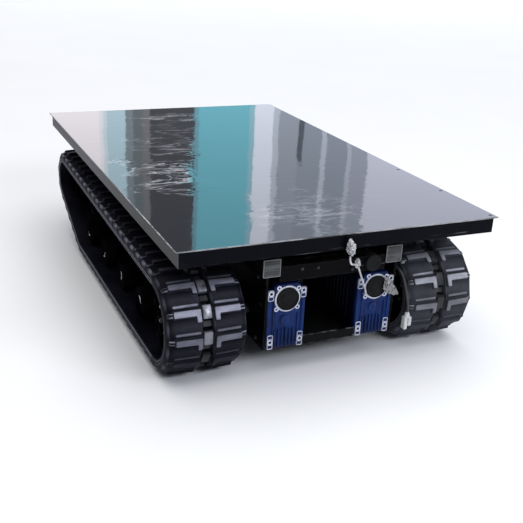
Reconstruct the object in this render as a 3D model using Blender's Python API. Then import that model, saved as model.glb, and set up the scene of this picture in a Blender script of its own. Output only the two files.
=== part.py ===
"""Tracked chassis: a flat deck on a welded hull, driven by two rubber belts.

Metres. +X is the chassis's left-to-right axis, -Y is its front, +Z is up, and the ground is z = 0.
Each side has a worm gearbox that turns a toothed sprocket, a belt with drive windows, four road
wheels, a carrier roller and an idler on a sliding tensioner.
"""

import math

import bmesh
import bpy
from mathutils import Matrix, Vector

GAP = 0.0003  # between two pieces that touch
SIDES = (("left", -1), ("right", 1))
ENDS = (("front", -1), ("rear", 1))

# deck
DECK_W = 0.800
DECK_L = 1.320
DECK_TOP = 0.360
PLATE_T = 0.003
PLATE_LIP = 0.0075  # how far the plate stands past its frame
RIM_H = 0.0367
RIM_D = 0.040
RIM_WALL = 0.002
RIM_TOP = DECK_TOP - PLATE_T - GAP
RIM_BOTTOM = RIM_TOP - RIM_H
RIM_X = DECK_W / 2 - PLATE_LIP
RIM_Y = DECK_L / 2 - PLATE_LIP
JOIST_W = 0.030

# hull
RAIL_X = 0.1575
RAIL_SIZE = 0.043
RAIL_WALL = 0.0025
RAIL_TOP = 0.294
RAIL_END = 0.600
CAP_T = 0.003
CAP_PLUG = 0.012
BOLSTER_Y = 0.400
BOLSTER_W = 0.040
BOLSTER_REACH = RIM_X - RIM_D / 2
HULL_BOTTOM = 0.070
SHEET_T = 0.003
PLATE_X = 0.1638  # inner face of the hull's side plates
SIDE_PLATE_T = 0.005
CROSS_TUBE_Z = (0.236, 0.273)
CROSS_TUBE_D = 0.040
LIP_H = 0.023

# drive
AXLE_Y = -0.492
AXLE_Z = 0.130
GEARBOX_X = 0.1155
GEARBOX_W = 0.095
GEARBOX_L = 0.222
GEARBOX_Z = (HULL_BOTTOM - 0.001, 0.230)
GEARBOX_CHAMFER = 0.010
SHAFT_R = 0.0125
SHAFT_X = (0.0745, 0.3695)
WHEEL_TEETH = 30
WHEEL_PITCH_R = 0.0485
WHEEL_W = 0.022
TOOTH_DEPTH = 0.0025
CENTRE_DISTANCE = 0.065
WORM_Z = AXLE_Z + CENTRE_DISTANCE
WORM_PITCH_R = CENTRE_DISTANCE - WHEEL_PITCH_R
WORM_LEAD = 2 * math.pi * WHEEL_PITCH_R / WHEEL_TEETH
WORM_TURNS = 4
WORM_BORE_R = 0.022
GEAR_CASE_R = 0.0525
CAP_R = 0.028
MOTOR_FLANGE = 0.088
MOTOR_R = 0.042
MOTOR_L = 0.165

# tracks
TRACK_X = 0.305  # middle of each belt
TRACK_W = 0.190
LINK_PITCH = 0.050
LINKS = 49
SPROCKET_TEETH = 12
PITCH_R = SPROCKET_TEETH * LINK_PITCH / (2 * math.pi)
LUG_PHASE = 0.5  # a lug, not a window, is over the sprocket's top: in links
LUG_TOP = 0.0325  # from the pitch line out to the top of the lugs
CARCASS_OUT = 0.0245  # from the pitch line out to the band between the lugs
CARCASS_IN = -0.0085
WINDOW_L = 0.022
WINDOW_W = 0.032
LUG_TAPER = 0.004
LUG_SHOULDER = 0.006
BEND_R = 0.070  # where the belt bends round the first and the last road wheel
ROAD_WHEEL_Y = (-0.280, -0.100, 0.080, 0.260)
ROAD_WHEEL_R = 0.0390
WHEEL_CLEAR = 0.0015  # slack between a wheel and a straight run of the belt
ROAD_WHEEL_Z = LUG_TOP - CARCASS_IN + WHEEL_CLEAR + ROAD_WHEEL_R
IDLER_PITCH_R = 0.0605
TOP_RUN_RISE = 0.020  # how much higher the belt's top is over the idler than over the sprocket
IDLER_Z = AXLE_Z + PITCH_R + TOP_RUN_RISE - IDLER_PITCH_R
IDLER_R = 0.0500
CARRIER_R = 0.0220
CARRIER_Z = AXLE_Z + PITCH_R + TOP_RUN_RISE / 2 + CARCASS_IN - WHEEL_CLEAR - CARRIER_R
CARRIER_HANGER_TOP = CARRIER_Z + 0.0135
FRAME_T = 0.012
FRAME_TOP = 0.165
FRAME_BOTTOM = 0.115
HANGER_BOTTOM = 0.062
ARM_Y = (-0.190, 0.170)
ARM_SIZE = 0.030
ARM_Z = 0.135
SLOT_Y = 0.275
SLOT_H = 0.030
SLIDE_START = 0.310
STUD_R = 0.004


# ---------------------------------------------------------------- materials

def material(name, colour, roughness, metallic=0.0):
    found = bpy.data.materials.get(name)
    if found:
        return found
    made = bpy.data.materials.new(name)
    made.use_nodes = True
    shader = made.node_tree.nodes["Principled BSDF"]
    shader.inputs["Base Color"].default_value = (*colour, 1.0)
    shader.inputs["Roughness"].default_value = roughness
    shader.inputs["Metallic"].default_value = metallic
    made.diffuse_color = (*colour, 1.0)
    return made


def gloss_black():
    return material("gloss_black", (0.02, 0.02, 0.025), 0.06)


def painted_frame():
    return material("painted_frame", (0.03, 0.03, 0.035), 0.45)


def rubber():
    return material("rubber", (0.035, 0.035, 0.04), 0.7)


def blue_casting():
    return material("blue_casting", (0.02, 0.07, 0.32), 0.4, 0.3)


def steel():
    return material("steel", (0.45, 0.45, 0.47), 0.35, 1.0)


def bronze():
    return material("bronze", (0.55, 0.36, 0.16), 0.4, 1.0)


def grey_plastic():
    return material("grey_plastic", (0.42, 0.43, 0.44), 0.5)


def black_plastic():
    return material("black_plastic", (0.03, 0.03, 0.03), 0.5)


def pale_lead():
    return material("pale_lead", (0.75, 0.75, 0.76), 0.45)


# ---------------------------------------------------------------- building blocks

def add_object(name, mesh_maker, finish, origin=(0.0, 0.0, 0.0), smooth=False):
    """An object from a bmesh whose coordinates are measured from the origin given."""
    mesh = bpy.data.meshes.new(name)
    bm = bmesh.new()
    mesh_maker(bm)
    bmesh.ops.recalc_face_normals(bm, faces=bm.faces)
    bm.to_mesh(mesh)
    bm.free()
    if finish:
        mesh.materials.append(finish())
    if smooth:
        mesh.shade_smooth()
        mesh.set_sharp_from_angle(angle=math.radians(35))
    made = bpy.data.objects.new(name, mesh)
    made.location = origin
    bpy.context.scene.collection.objects.link(made)
    return made


def box_mesh(bm, low, high):
    """A box between two corners."""
    size = Vector(high) - Vector(low)
    middle = (Vector(high) + Vector(low)) / 2
    place = Matrix.Translation(middle) @ Matrix.Diagonal((*size, 1.0))
    bmesh.ops.create_cube(bm, size=1.0, matrix=place)


def add_box(name, low, high, finish):
    return add_object(name, lambda bm: box_mesh(bm, low, high), finish)


def loop_of(bm, points):
    return [bm.verts.new(p) for p in points]


def bridge(bm, first, second):
    for n, a in enumerate(first):
        m = (n + 1) % len(first)
        bm.faces.new((a, first[m], second[m], second[n]))


def square_tube(bm, ends, half_w, half_h, wall):
    """An open-ended tube. Each end is a function from the section's (side, height) to a point."""
    outer = [(-half_w, -half_h), (half_w, -half_h), (half_w, half_h), (-half_w, half_h)]
    inner = [(math.copysign(abs(w) - wall, w), math.copysign(abs(h) - wall, h)) for w, h in outer]
    rings = [[loop_of(bm, [end(w, h) for w, h in ring]) for ring in (outer, inner)] for end in ends]
    (outer_a, inner_a), (outer_b, inner_b) = rings
    bridge(bm, outer_a, outer_b)
    bridge(bm, inner_b, inner_a)
    bridge(bm, inner_a, outer_a)
    bridge(bm, outer_b, inner_b)


def straight_tube(bm, axis, start, stop, centre, size, wall):
    """A tube along X or Y, with its section's centre at (the other axis, z)."""
    def end(at):
        if axis == "X":
            return lambda w, h: (at, centre[0] + w, centre[1] + h)
        return lambda w, h: (centre[0] + w, at, centre[1] + h)
    square_tube(bm, (end(start), end(stop)), size[0] / 2, size[1] / 2, wall)


def prism(bm, outline, low, high):
    """An outline in (y, z), with material between two x values."""
    near = loop_of(bm, [(low, y, z) for y, z in outline])
    far = loop_of(bm, [(high, y, z) for y, z in outline])
    bm.faces.new(near)
    bm.faces.new(far)
    bridge(bm, near, far)


def turned(bm, profile, sides, axis, phase=0.0):
    """A profile of (along, radius) turned about X or Y. A closed profile makes a ring."""
    def point(along, radius, n):
        a = 2 * math.pi * (n + phase) / sides
        if axis == "X":
            return (along, radius * math.cos(a), radius * math.sin(a))
        return (radius * math.cos(a), along, radius * math.sin(a))
    hollow = profile[0] == profile[-1]
    rings = [loop_of(bm, [point(s, r, n) for n in range(sides)]) for s, r in profile[:len(profile) - hollow]]
    for a, b in zip(rings, rings[1:]):
        bridge(bm, a, b)
    if hollow:
        bridge(bm, rings[-1], rings[0])
    else:
        bm.faces.new(rings[0])
        bm.faces.new(rings[-1])


def cutter(name, mesh_maker):
    made = add_object(name, mesh_maker, None)
    made.hide_render = True
    made.display_type = "WIRE"
    return made


def combine(target, tool, operation):
    """A Boolean that keeps the exact solver."""
    change = target.modifiers.new(tool.name, "BOOLEAN")
    change.object = tool
    change.operation = operation
    change.solver = "EXACT"
    return target


def cut_round(target, name, axis, centre, radius, span, sides=24):
    """A round hole along X or Y through a point, over the span of that axis."""
    def hole(bm):
        turned(bm, [(span[0], radius), (span[1], radius)], sides, axis)
        bmesh.ops.translate(bm, verts=bm.verts, vec=centre)
    combine(target, cutter(name, hole), "DIFFERENCE")


# ---------------------------------------------------------------- deck

def make_deck():
    add_box(
        "deck_plate",
        (-DECK_W / 2, -DECK_L / 2, DECK_TOP - PLATE_T),
        (DECK_W / 2, DECK_L / 2, DECK_TOP),
        gloss_black,
    )
    middle_z = (RIM_TOP + RIM_BOTTOM) / 2
    for end_name, sign in ENDS:
        def mitre_x(side, sign=sign):
            def point(w, h):
                reach = RIM_X - (RIM_D / 2 - w) - GAP
                return (side * reach, sign * (RIM_Y - RIM_D / 2 + w), middle_z + h)
            return point
        add_object(
            f"deck_rim_{end_name}",
            lambda bm, m=mitre_x: square_tube(bm, (m(-1), m(1)), RIM_D / 2, RIM_H / 2, RIM_WALL),
            painted_frame,
        )
    for side_name, sign in SIDES:
        def mitre_y(side, sign=sign):
            def point(w, h):
                reach = RIM_Y - (RIM_D / 2 - w) - GAP
                return (sign * (RIM_X - RIM_D / 2 + w), side * reach, middle_z + h)
            return point
        add_object(
            f"deck_rim_{side_name}",
            lambda bm, m=mitre_y: square_tube(bm, (m(-1), m(1)), RIM_D / 2, RIM_H / 2, RIM_WALL),
            painted_frame,
        )
    reach = RIM_X - RIM_D - GAP
    add_object(
        "deck_joist",
        lambda bm: straight_tube(bm, "X", -reach, reach, (0, middle_z), (JOIST_W, RIM_H), RIM_WALL),
        painted_frame,
    )
    low, high = RAIL_TOP + GAP, RIM_BOTTOM - GAP
    for end_name, sign in ENDS:
        at = (sign * BOLSTER_Y, (low + high) / 2)
        add_object(
            f"bolster_{end_name}",
            lambda bm, at=at: straight_tube(
                bm, "X", -BOLSTER_REACH, BOLSTER_REACH, at, (BOLSTER_W, high - low), RIM_WALL,
            ),
            painted_frame,
        )


# ---------------------------------------------------------------- hull

def make_rails():
    middle_z = RAIL_TOP - RAIL_SIZE / 2
    plug = RAIL_SIZE / 2 - RAIL_WALL - GAP
    for side_name, side in SIDES:
        x = side * RAIL_X
        add_object(
            f"chassis_rail_{side_name}",
            lambda bm, x=x: straight_tube(
                bm, "Y", -RAIL_END, RAIL_END, (x, middle_z), (RAIL_SIZE, RAIL_SIZE), RAIL_WALL
            ),
            painted_frame,
        )
        for end_name, end in ENDS:
            def cap(bm):
                flange_in, flange_out = end * (RAIL_END + GAP), end * (RAIL_END + CAP_T)
                ring = [(-1, -1), (1, -1), (1, 1), (-1, 1)]
                steps = (
                    (flange_out, RAIL_SIZE / 2),
                    (flange_in, RAIL_SIZE / 2),
                    (flange_in, plug),
                    (end * (RAIL_END - CAP_PLUG), plug),
                )
                rings = [
                    loop_of(bm, [(x + a * r, y, middle_z + b * r) for a, b in ring]) for y, r in steps
                ]
                for first, second in zip(rings, rings[1:]):
                    bridge(bm, first, second)
                bm.faces.new(rings[0])
                bm.faces.new(rings[-1])
            add_object(f"rail_cap_{end_name}_{side_name}", cap, grey_plastic)


def make_hull():
    for side_name, side in SIDES:
        inner, outer = sorted((side * PLATE_X, side * (PLATE_X + SIDE_PLATE_T)))
        plate = add_box(
            f"hull_side_plate_{side_name}",
            (inner, -RAIL_END, HULL_BOTTOM),
            (outer, RAIL_END, RAIL_TOP - RAIL_SIZE - GAP),
            painted_frame,
        )
        cut_round(
            plate, f"cut_shaft_hole_{side_name}", "X", (0, AXLE_Y, AXLE_Z),
            SHAFT_R * 1.8, (inner - 0.01, outer + 0.01),
        )
    low_z, high_z = CROSS_TUBE_Z
    reach = RAIL_X - RAIL_SIZE / 2 - GAP
    add_object(
        "front_cross_tube",
        lambda bm: straight_tube(
            bm, "X", -reach, reach, (-RAIL_END + CROSS_TUBE_D / 2, (low_z + high_z) / 2),
            (CROSS_TUBE_D, high_z - low_z), RAIL_WALL,
        ),
        painted_frame,
    )
    gearbox_rear = AXLE_Y + GEARBOX_L / 2
    inside = PLATE_X - GAP
    add_box(
        "belly_pan",
        (-inside, gearbox_rear + GAP, HULL_BOTTOM),
        (inside, RAIL_END - SHEET_T - GAP, HULL_BOTTOM + SHEET_T),
        painted_frame,
    )
    half = GEARBOX_X - GEARBOX_W / 2 - GAP
    lip = [
        (-RAIL_END, HULL_BOTTOM),
        (gearbox_rear, HULL_BOTTOM),
        (gearbox_rear, HULL_BOTTOM + SHEET_T),
        (-RAIL_END + SHEET_T, HULL_BOTTOM + SHEET_T),
        (-RAIL_END + SHEET_T, HULL_BOTTOM + LIP_H),
        (-RAIL_END, HULL_BOTTOM + LIP_H),
    ]
    add_object("front_apron", lambda bm: prism(bm, lip, -half, half), painted_frame)
    add_box(
        "rear_plate",
        (-inside, RAIL_END - SHEET_T, HULL_BOTTOM),
        (inside, RAIL_END, RAIL_TOP - RAIL_SIZE - GAP),
        painted_frame,
    )


def make_electrics():
    floor = HULL_BOTTOM + SHEET_T + GAP
    add_box("battery_pack", (-0.105, -0.130, floor), (0.105, 0.330, floor + 0.130), black_plastic)
    add_box("motor_controller", (-0.055, -0.350, floor), (0.055, -0.170, floor + 0.045), grey_plastic)


# ---------------------------------------------------------------- drive

def make_housing(side_name, side):
    x = side * GEARBOX_X
    low_z, high_z = GEARBOX_Z
    front, rear = AXLE_Y - GEARBOX_L / 2, AXLE_Y + GEARBOX_L / 2
    c = GEARBOX_CHAMFER
    outline = [
        (front, low_z), (rear - c, low_z), (rear, low_z + c), (rear, high_z), (front, high_z),
    ]
    half = GEARBOX_W / 2
    housing = add_object(
        f"gearbox_housing_{side_name}", lambda bm: prism(bm, outline, x - half, x + half), blue_casting
    )
    wall = 0.008
    cut_round(
        housing, f"cut_gear_case_{side_name}", "X", (x, AXLE_Y, AXLE_Z),
        GEAR_CASE_R, (-half + wall, half - wall), 32,
    )
    cut_round(
        housing, f"cut_shaft_bore_{side_name}", "X", (x, AXLE_Y, AXLE_Z),
        SHAFT_R + 0.0008, sorted((side * (wall / 2 - half), side * (half + wall))),
    )
    cut_round(
        housing, f"cut_worm_bore_{side_name}", "Y", (x, AXLE_Y, WORM_Z),
        WORM_BORE_R, (-GEARBOX_L, GEARBOX_L),
    )


def thread_mesh(bm):
    """A one-start right-hand thread along Y. Its gap, not its crest, faces down at y = 0."""
    sides = 12
    steps = WORM_TURNS * sides
    root, crest = WORM_PITCH_R - 0.0045, WORM_PITCH_R + 0.0020
    rows = []
    for n in range(steps + 1):
        turn = n / sides - WORM_TURNS / 2
        a = 2 * math.pi * (turn + 0.5)
        top = root + (crest - root) * min(1.0, (n + 1) / 4, (steps - n + 1) / 4)
        section = ((-0.30, root), (-0.09, top), (0.09, top), (0.30, root))
        rows.append(loop_of(bm, [
            (-r * math.sin(a), WORM_LEAD * (turn + w), -r * math.cos(a)) for w, r in section
        ]))
    for a, b in zip(rows, rows[1:]):
        bridge(bm, a, b)
    bm.faces.new(rows[0])
    bm.faces.new(rows[-1])


def make_worm(side_name, side):
    """The worm's origin is on its own axis, above the wheel's centre."""
    origin = (side * GEARBOX_X, AXLE_Y, WORM_Z)
    core, journal = WORM_PITCH_R - 0.0035, 0.0095
    front, rear, half = -0.095, GEARBOX_L / 2 - 2 * GAP, 0.034
    profile = [
        (front, journal), (-half, journal), (-half, core), (half, core), (half, journal), (rear, journal),
    ]
    worm = add_object(
        f"worm_shaft_{side_name}", lambda bm: turned(bm, profile, 16, "Y"), steel, origin, smooth=True
    )
    thread = cutter(f"worm_thread_{side_name}", thread_mesh)
    thread.location = origin
    combine(worm, thread, "UNION")


def make_worm_wheel(side_name, side):
    """Straight teeth with one at the top, on a ring whose bore takes the output shaft."""
    x = side * GEARBOX_X
    tip, root = WHEEL_PITCH_R + TOOTH_DEPTH, WHEEL_PITCH_R - 0.0035

    def wheel(bm):
        outline = []
        for n in range(WHEEL_TEETH):
            middle = math.pi / 2 + 2 * math.pi * n / WHEEL_TEETH
            for turn, r in ((-0.24, root), (-0.07, tip), (0.07, tip), (0.24, root)):
                a = middle + 2 * math.pi * turn / WHEEL_TEETH
                outline.append((r * math.cos(a), r * math.sin(a)))
        prism(bm, outline, -WHEEL_W / 2, WHEEL_W / 2)

    made = add_object(f"worm_wheel_{side_name}", wheel, bronze, (x, AXLE_Y, AXLE_Z))
    cut_round(
        made, f"cut_wheel_bore_{side_name}", "X", (x, AXLE_Y, AXLE_Z), SHAFT_R + 0.0006, (-0.05, 0.05),
    )


def make_output_shaft(side_name, side):
    reach = sorted((side * SHAFT_X[0], side * SHAFT_X[1]))
    add_object(
        f"output_shaft_{side_name}",
        lambda bm: turned(bm, [(reach[0], SHAFT_R), (reach[1], SHAFT_R)], 16, "X"),
        steel, (0, AXLE_Y, AXLE_Z), smooth=True,
    )


def make_worm_cap(side_name, side):
    """A round cover on the gearbox's front face, with a plug that enters the worm's bore."""
    face = -GEARBOX_L / 2
    plug = WORM_BORE_R - 2 * GAP
    profile = [
        (face + 0.008, plug), (face - GAP, plug), (face - GAP, CAP_R), (face - 0.004, CAP_R),
        (face - 0.006, CAP_R - 0.003),
    ]
    add_object(
        f"worm_cap_{side_name}", lambda bm: turned(bm, profile, 28, "Y"), black_plastic,
        (side * GEARBOX_X, AXLE_Y, WORM_Z), smooth=True,
    )


def make_motor(side_name, side):
    """A square flange on the gearbox's rear face and a round body behind it."""
    x = side * GEARBOX_X
    face = AXLE_Y + GEARBOX_L / 2 + GAP
    flange_t = 0.010
    half = MOTOR_FLANGE / 2
    motor = add_box(
        f"motor_{side_name}",
        (x - half, face, WORM_Z - 0.032),
        (x + half, face + flange_t, WORM_Z + half - 0.004),
        painted_frame,
    )

    def body(bm):
        steps = [
            (flange_t / 2, 0.030), (flange_t * 2, 0.030), (flange_t * 2.4, MOTOR_R),
            (MOTOR_L - 0.006, MOTOR_R), (MOTOR_L, MOTOR_R - 0.006),
        ]
        turned(bm, steps, 24, "Y")
        bmesh.ops.translate(bm, verts=bm.verts, vec=(x, face, WORM_Z))
    combine(motor, cutter(f"motor_body_{side_name}", body), "UNION")


# ---------------------------------------------------------------- tracks

def outer_tangent(first, second):
    """The line that both circles touch on their outer side, for a path that turns left."""
    (y1, z1, r1), (y2, z2, r2) = first, second
    dy, dz = y2 - y1, z2 - z1
    length = math.hypot(dy, dz)
    heading = math.atan2(dz, dy) + math.asin((r1 - r2) / length) - math.pi / 2
    out = Vector((math.cos(heading), math.sin(heading)))
    return Vector((y1, z1)) + out * r1, Vector((y2, z2)) + out * r2


class BeltPath:
    """The pitch line: a closed path that starts over the sprocket and runs forward and down."""

    def __init__(self, idler_y):
        bend_z = LUG_TOP + BEND_R
        circles = [
            (AXLE_Y, AXLE_Z, PITCH_R),
            (ROAD_WHEEL_Y[0], bend_z, BEND_R),
            (ROAD_WHEEL_Y[-1], bend_z, BEND_R),
            (idler_y, IDLER_Z, IDLER_PITCH_R),
        ]
        self.runs = []
        self.length = 0.0
        count = len(circles)
        lines = [outer_tangent(circles[n], circles[(n + 1) % count]) for n in range(count)]
        for n, circle in enumerate(circles):
            entry, leave = lines[n - 1][1], lines[n][0]
            self.add_arc(circle, entry, leave)
            self.add_line(*lines[n])

    def add_arc(self, circle, entry, leave):
        y, z, r = circle
        start = math.atan2(entry[1] - z, entry[0] - y)
        sweep = (math.atan2(leave[1] - z, leave[0] - y) - start) % (2 * math.pi)
        self.runs.append((self.length, r * sweep, "arc", (y, z, r, start)))
        self.length += r * sweep

    def add_line(self, start, stop):
        span = (stop - start).length
        self.runs.append((self.length, span, "line", (start, (stop - start) / span)))
        self.length += span

    def at(self, distance, out):
        """(y, z) at a distance along the path, moved outward."""
        distance %= self.length
        for begin, span, kind, data in self.runs:
            if distance <= begin + span + 1e-9:
                along = distance - begin
                if kind == "line":
                    point = data[0] + data[1] * along
                    return (point[0] + data[1][1] * out, point[1] - data[1][0] * out)
                y, z, r, start = data
                a = start + along / r
                return (y + (r + out) * math.cos(a), z + (r + out) * math.sin(a))
        raise ValueError("the distance is past the end of the belt")


def fitted_idler_y():
    """The idler's place at which the belt holds a whole number of links."""
    low, high = 0.40, 0.60
    for _ in range(60):
        middle = (low + high) / 2
        if BeltPath(middle).length < LINKS * LINK_PITCH:
            low = middle
        else:
            high = middle
    return (low + high) / 2


IDLER_Y = fitted_idler_y()
PATH = BeltPath(IDLER_Y)


def make_belt(side_name, side):
    """A loop of links: a drive window, then a bar with a lug on each side of the middle."""
    half = TRACK_W / 2
    columns = [side * TRACK_X + w for w in (-half, -WINDOW_W / 2, WINDOW_W / 2, half)]

    def belt(bm):
        def row(distance, out, across=columns):
            y, z = PATH.at(distance, out)
            return loop_of(bm, [(x, y, z) for x in across])

        edges = []
        for n in range(LINKS):
            for shift in (-WINDOW_L / 2, WINDOW_L / 2):
                distance = (n + LUG_PHASE) * LINK_PITCH + shift
                edges.append((distance, row(distance, CARCASS_IN), row(distance, CARCASS_OUT)))
        for n, (distance, inner, outer) in enumerate(edges):
            _, next_inner, next_outer = edges[(n + 1) % len(edges)]
            bm.faces.new((inner[0], outer[0], next_outer[0], next_inner[0]))
            bm.faces.new((inner[3], outer[3], next_outer[3], next_inner[3]))
            solid = n % 2
            for column in range(3):
                here = (column, column + 1)
                if column == 1 and not solid:
                    bm.faces.new((inner[1], inner[2], outer[2], outer[1]))
                    bm.faces.new((next_inner[1], next_inner[2], next_outer[2], next_outer[1]))
                    bm.faces.new((inner[1], outer[1], next_outer[1], next_inner[1]))
                    bm.faces.new((inner[2], outer[2], next_outer[2], next_inner[2]))
                    continue
                bm.faces.new([inner[k] for k in here] + [next_inner[k] for k in reversed(here)])
                if column == 1 or not solid:
                    bm.faces.new([outer[k] for k in here] + [next_outer[k] for k in reversed(here)])
                    continue
                base = [outer[here[0]], outer[here[1]], next_outer[here[1]], next_outer[here[0]]]
                stop = distance + LINK_PITCH - WINDOW_L
                across = (columns[here[0]] + LUG_SHOULDER, columns[here[1]] - LUG_SHOULDER)
                near = row(distance + LUG_TAPER, LUG_TOP, across)
                far = row(stop - LUG_TAPER, LUG_TOP, across)
                top = [near[0], near[1], far[1], far[0]]
                bridge(bm, base, top)
                bm.faces.new(top)
    add_object(f"track_belt_{side_name}", belt, rubber)


def make_sprocket(side_name, side):
    """Two carrying discs on a hub, and a toothed ring between them that enters the belt's windows."""
    origin = (side * TRACK_X, AXLE_Y, AXLE_Z)
    disc, hub, bore = 0.0855, 0.034, SHAFT_R + 0.0006
    outer, inner = 0.064, 0.044
    profile = [
        (-outer, bore), (-outer, disc), (-inner, disc), (-inner, hub),
        (inner, hub), (inner, disc), (outer, disc), (outer, bore), (-outer, bore),
    ]
    sprocket = add_object(
        f"drive_sprocket_{side_name}", lambda bm: turned(bm, profile, 24, "X"), steel, origin, smooth=True
    )

    def ring(bm):
        outline = []
        for n in range(SPROCKET_TEETH):
            middle = math.pi / 2 + 2 * math.pi * (n + LUG_PHASE) / SPROCKET_TEETH
            for half_w, r in ((-0.0085, 0.078), (-0.0050, 0.0985), (0.0050, 0.0985), (0.0085, 0.078)):
                a = middle + half_w / r
                outline.append((r * math.cos(a), r * math.sin(a)))
        prism(bm, outline, -0.012, 0.012)
    teeth = cutter(f"sprocket_teeth_{side_name}", ring)
    teeth.location = origin
    bore_cut = cutter(
        f"cut_sprocket_teeth_{side_name}", lambda bm: turned(bm, [(-0.03, 0.025), (0.03, 0.025)], 16, "X")
    )
    bore_cut.location = origin
    combine(teeth, bore_cut, "DIFFERENCE")
    combine(sprocket, teeth, "UNION")


def wheel_mesh(radius, hub, inner, outer, sides):
    """Two discs on a hub. The gap between them clears the frame plate and the belt's guide horns."""
    profile = [
        (-outer, radius), (-inner, radius), (-inner, hub), (inner, hub), (inner, radius), (outer, radius),
    ]
    return lambda bm: turned(bm, profile, sides, "X", 0.5)


def make_wheels(side_name, side):
    x = side * TRACK_X
    for n, y in enumerate(ROAD_WHEEL_Y, 1):
        add_object(
            f"road_wheel_{side_name}_{n}", wheel_mesh(ROAD_WHEEL_R, 0.013, 0.030, 0.062, 16),
            rubber, (x, y, ROAD_WHEEL_Z), smooth=True,
        )
    add_object(
        f"carrier_roller_{side_name}", wheel_mesh(CARRIER_R, 0.008, 0.024, 0.050, 14),
        rubber, (x, 0, CARRIER_Z), smooth=True,
    )
    add_object(
        f"idler_{side_name}", wheel_mesh(IDLER_R, 0.015, 0.030, 0.062, 24),
        steel, (x, IDLER_Y, IDLER_Z), smooth=True,
    )


def make_frame(side_name, side):
    """An upright plate in the middle of the track, on two arms that reach in to the hull."""
    x = side * TRACK_X
    half_slot = SLOT_H / 2 + GAP
    rear = 0.360
    outline = [(-0.345, FRAME_BOTTOM)]
    for y in ROAD_WHEEL_Y:
        outline += [
            (y - 0.030, FRAME_BOTTOM), (y - 0.020, HANGER_BOTTOM),
            (y + 0.020, HANGER_BOTTOM), (y + 0.030, FRAME_BOTTOM),
        ]
    outline += [
        (rear, IDLER_Z - half_slot - 0.014), (rear, IDLER_Z - half_slot),
        (SLOT_Y, IDLER_Z - half_slot), (SLOT_Y, IDLER_Z + half_slot),
        (rear, IDLER_Z + half_slot), (rear, IDLER_Z + half_slot + 0.014),
        (0.245, IDLER_Z + half_slot + 0.014), (0.215, FRAME_TOP),
        (0.030, FRAME_TOP), (0.018, CARRIER_HANGER_TOP), (-0.018, CARRIER_HANGER_TOP), (-0.030, FRAME_TOP),
        (-0.330, FRAME_TOP), (-0.345, FRAME_TOP - 0.015),
    ]
    half = FRAME_T / 2
    frame = add_object(
        f"track_frame_{side_name}", lambda bm: prism(bm, outline, x - half, x + half), painted_frame
    )
    span = (-0.05, 0.05)
    for n, y in enumerate(ROAD_WHEEL_Y, 1):
        cut_round(frame, f"cut_axle_{side_name}_{n}", "X", (x, y, ROAD_WHEEL_Z), 0.0150, span, 20)
    cut_round(frame, f"cut_carrier_{side_name}", "X", (x, 0, CARRIER_Z), 0.0095, span, 16)
    near, far = side * (PLATE_X + SIDE_PLATE_T + GAP), side * (TRACK_X - half + 0.003)
    for n, y in enumerate(ARM_Y, 1):
        half_arm = ARM_SIZE / 2
        low = (min(near, far), y - half_arm, ARM_Z - half_arm)
        high = (max(near, far), y + half_arm, ARM_Z + half_arm)
        combine(frame, cutter(f"frame_arm_{side_name}_{n}", lambda bm: box_mesh(bm, low, high)), "UNION")


def make_tensioner(side_name, side):
    """A sliding plate that carries the idler, and the screw that sets it."""
    x = side * TRACK_X
    half_t, half_h = FRAME_T / 2, SLOT_H / 2
    round_from = IDLER_Y
    nose = [
        (round_from + 0.022 * math.sin(a), IDLER_Z + 0.022 * math.cos(a))
        for a in (math.radians(d) for d in range(20, 161, 20))
    ]
    outline = [
        (SLIDE_START, IDLER_Z - half_h), (SLIDE_START, IDLER_Z + half_h),
        (round_from - 0.020, IDLER_Z + half_h), *nose, (round_from - 0.020, IDLER_Z - half_h),
    ]
    slide = add_object(
        f"tension_slide_{side_name}", lambda bm: prism(bm, outline, x - half_t, x + half_t), painted_frame
    )
    cut_round(
        slide, f"cut_idler_{side_name}", "X", (x, IDLER_Y, IDLER_Z), 0.0172, (-0.05, 0.05),
    )
    cut_round(
        slide, f"cut_stud_{side_name}", "Y", (x, SLIDE_START, IDLER_Z), STUD_R + 0.0006, (-0.01, 0.055), 12,
    )
    nut = SLOT_Y + GAP
    profile = [(nut, 0.0055), (nut + 0.008, 0.0055), (nut + 0.008, STUD_R), (nut + 0.062, STUD_R)]
    add_object(
        f"tension_stud_{side_name}", lambda bm: turned(bm, profile, 12, "Y"), steel, (x, 0, IDLER_Z)
    )


# ---------------------------------------------------------------- loose leads

SIGNAL_LEAD_R = 0.0022
SIGNAL_LEAD_ROUTE = (
    (0.002, -0.6625, 0.3068), (0.003, -0.6627, 0.2960), (0.010, -0.6580, 0.2850),
    (0.026, -0.6420, 0.2760), (0.044, -0.6260, 0.2660), (0.056, -0.6180, 0.2500),
    (0.066, -0.6140, 0.2300), (0.076, -0.6130, 0.2080), (0.0820, -0.6140, 0.1900),
    (0.0828, -0.6111, 0.1829), (0.0830, -0.6075, 0.1806), (0.0830, -0.6043, 0.1803),
)
BRAKE_LEAD_R = 0.0030
BRAKE_LEAD_ROUTE = (
    (0.1663, -0.6005, 0.2380), (0.1668, -0.6080, 0.2385), (0.1690, -0.6180, 0.2340),
    (0.1740, -0.6270, 0.2200), (0.1800, -0.6310, 0.1980), (0.1870, -0.6305, 0.1740),
    (0.1930, -0.6300, 0.1520), (0.1950, -0.6300, 0.1380), (0.1950, -0.6300, 0.1290),
)
RIM_CONNECTOR = ((-0.012, -0.6790, 0.3075), (0.014, -0.6530, 0.3460))
BRAKE_PLUG = ((0.1840, -0.6410, 0.0850), (0.2060, -0.6190, 0.1280))


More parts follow.
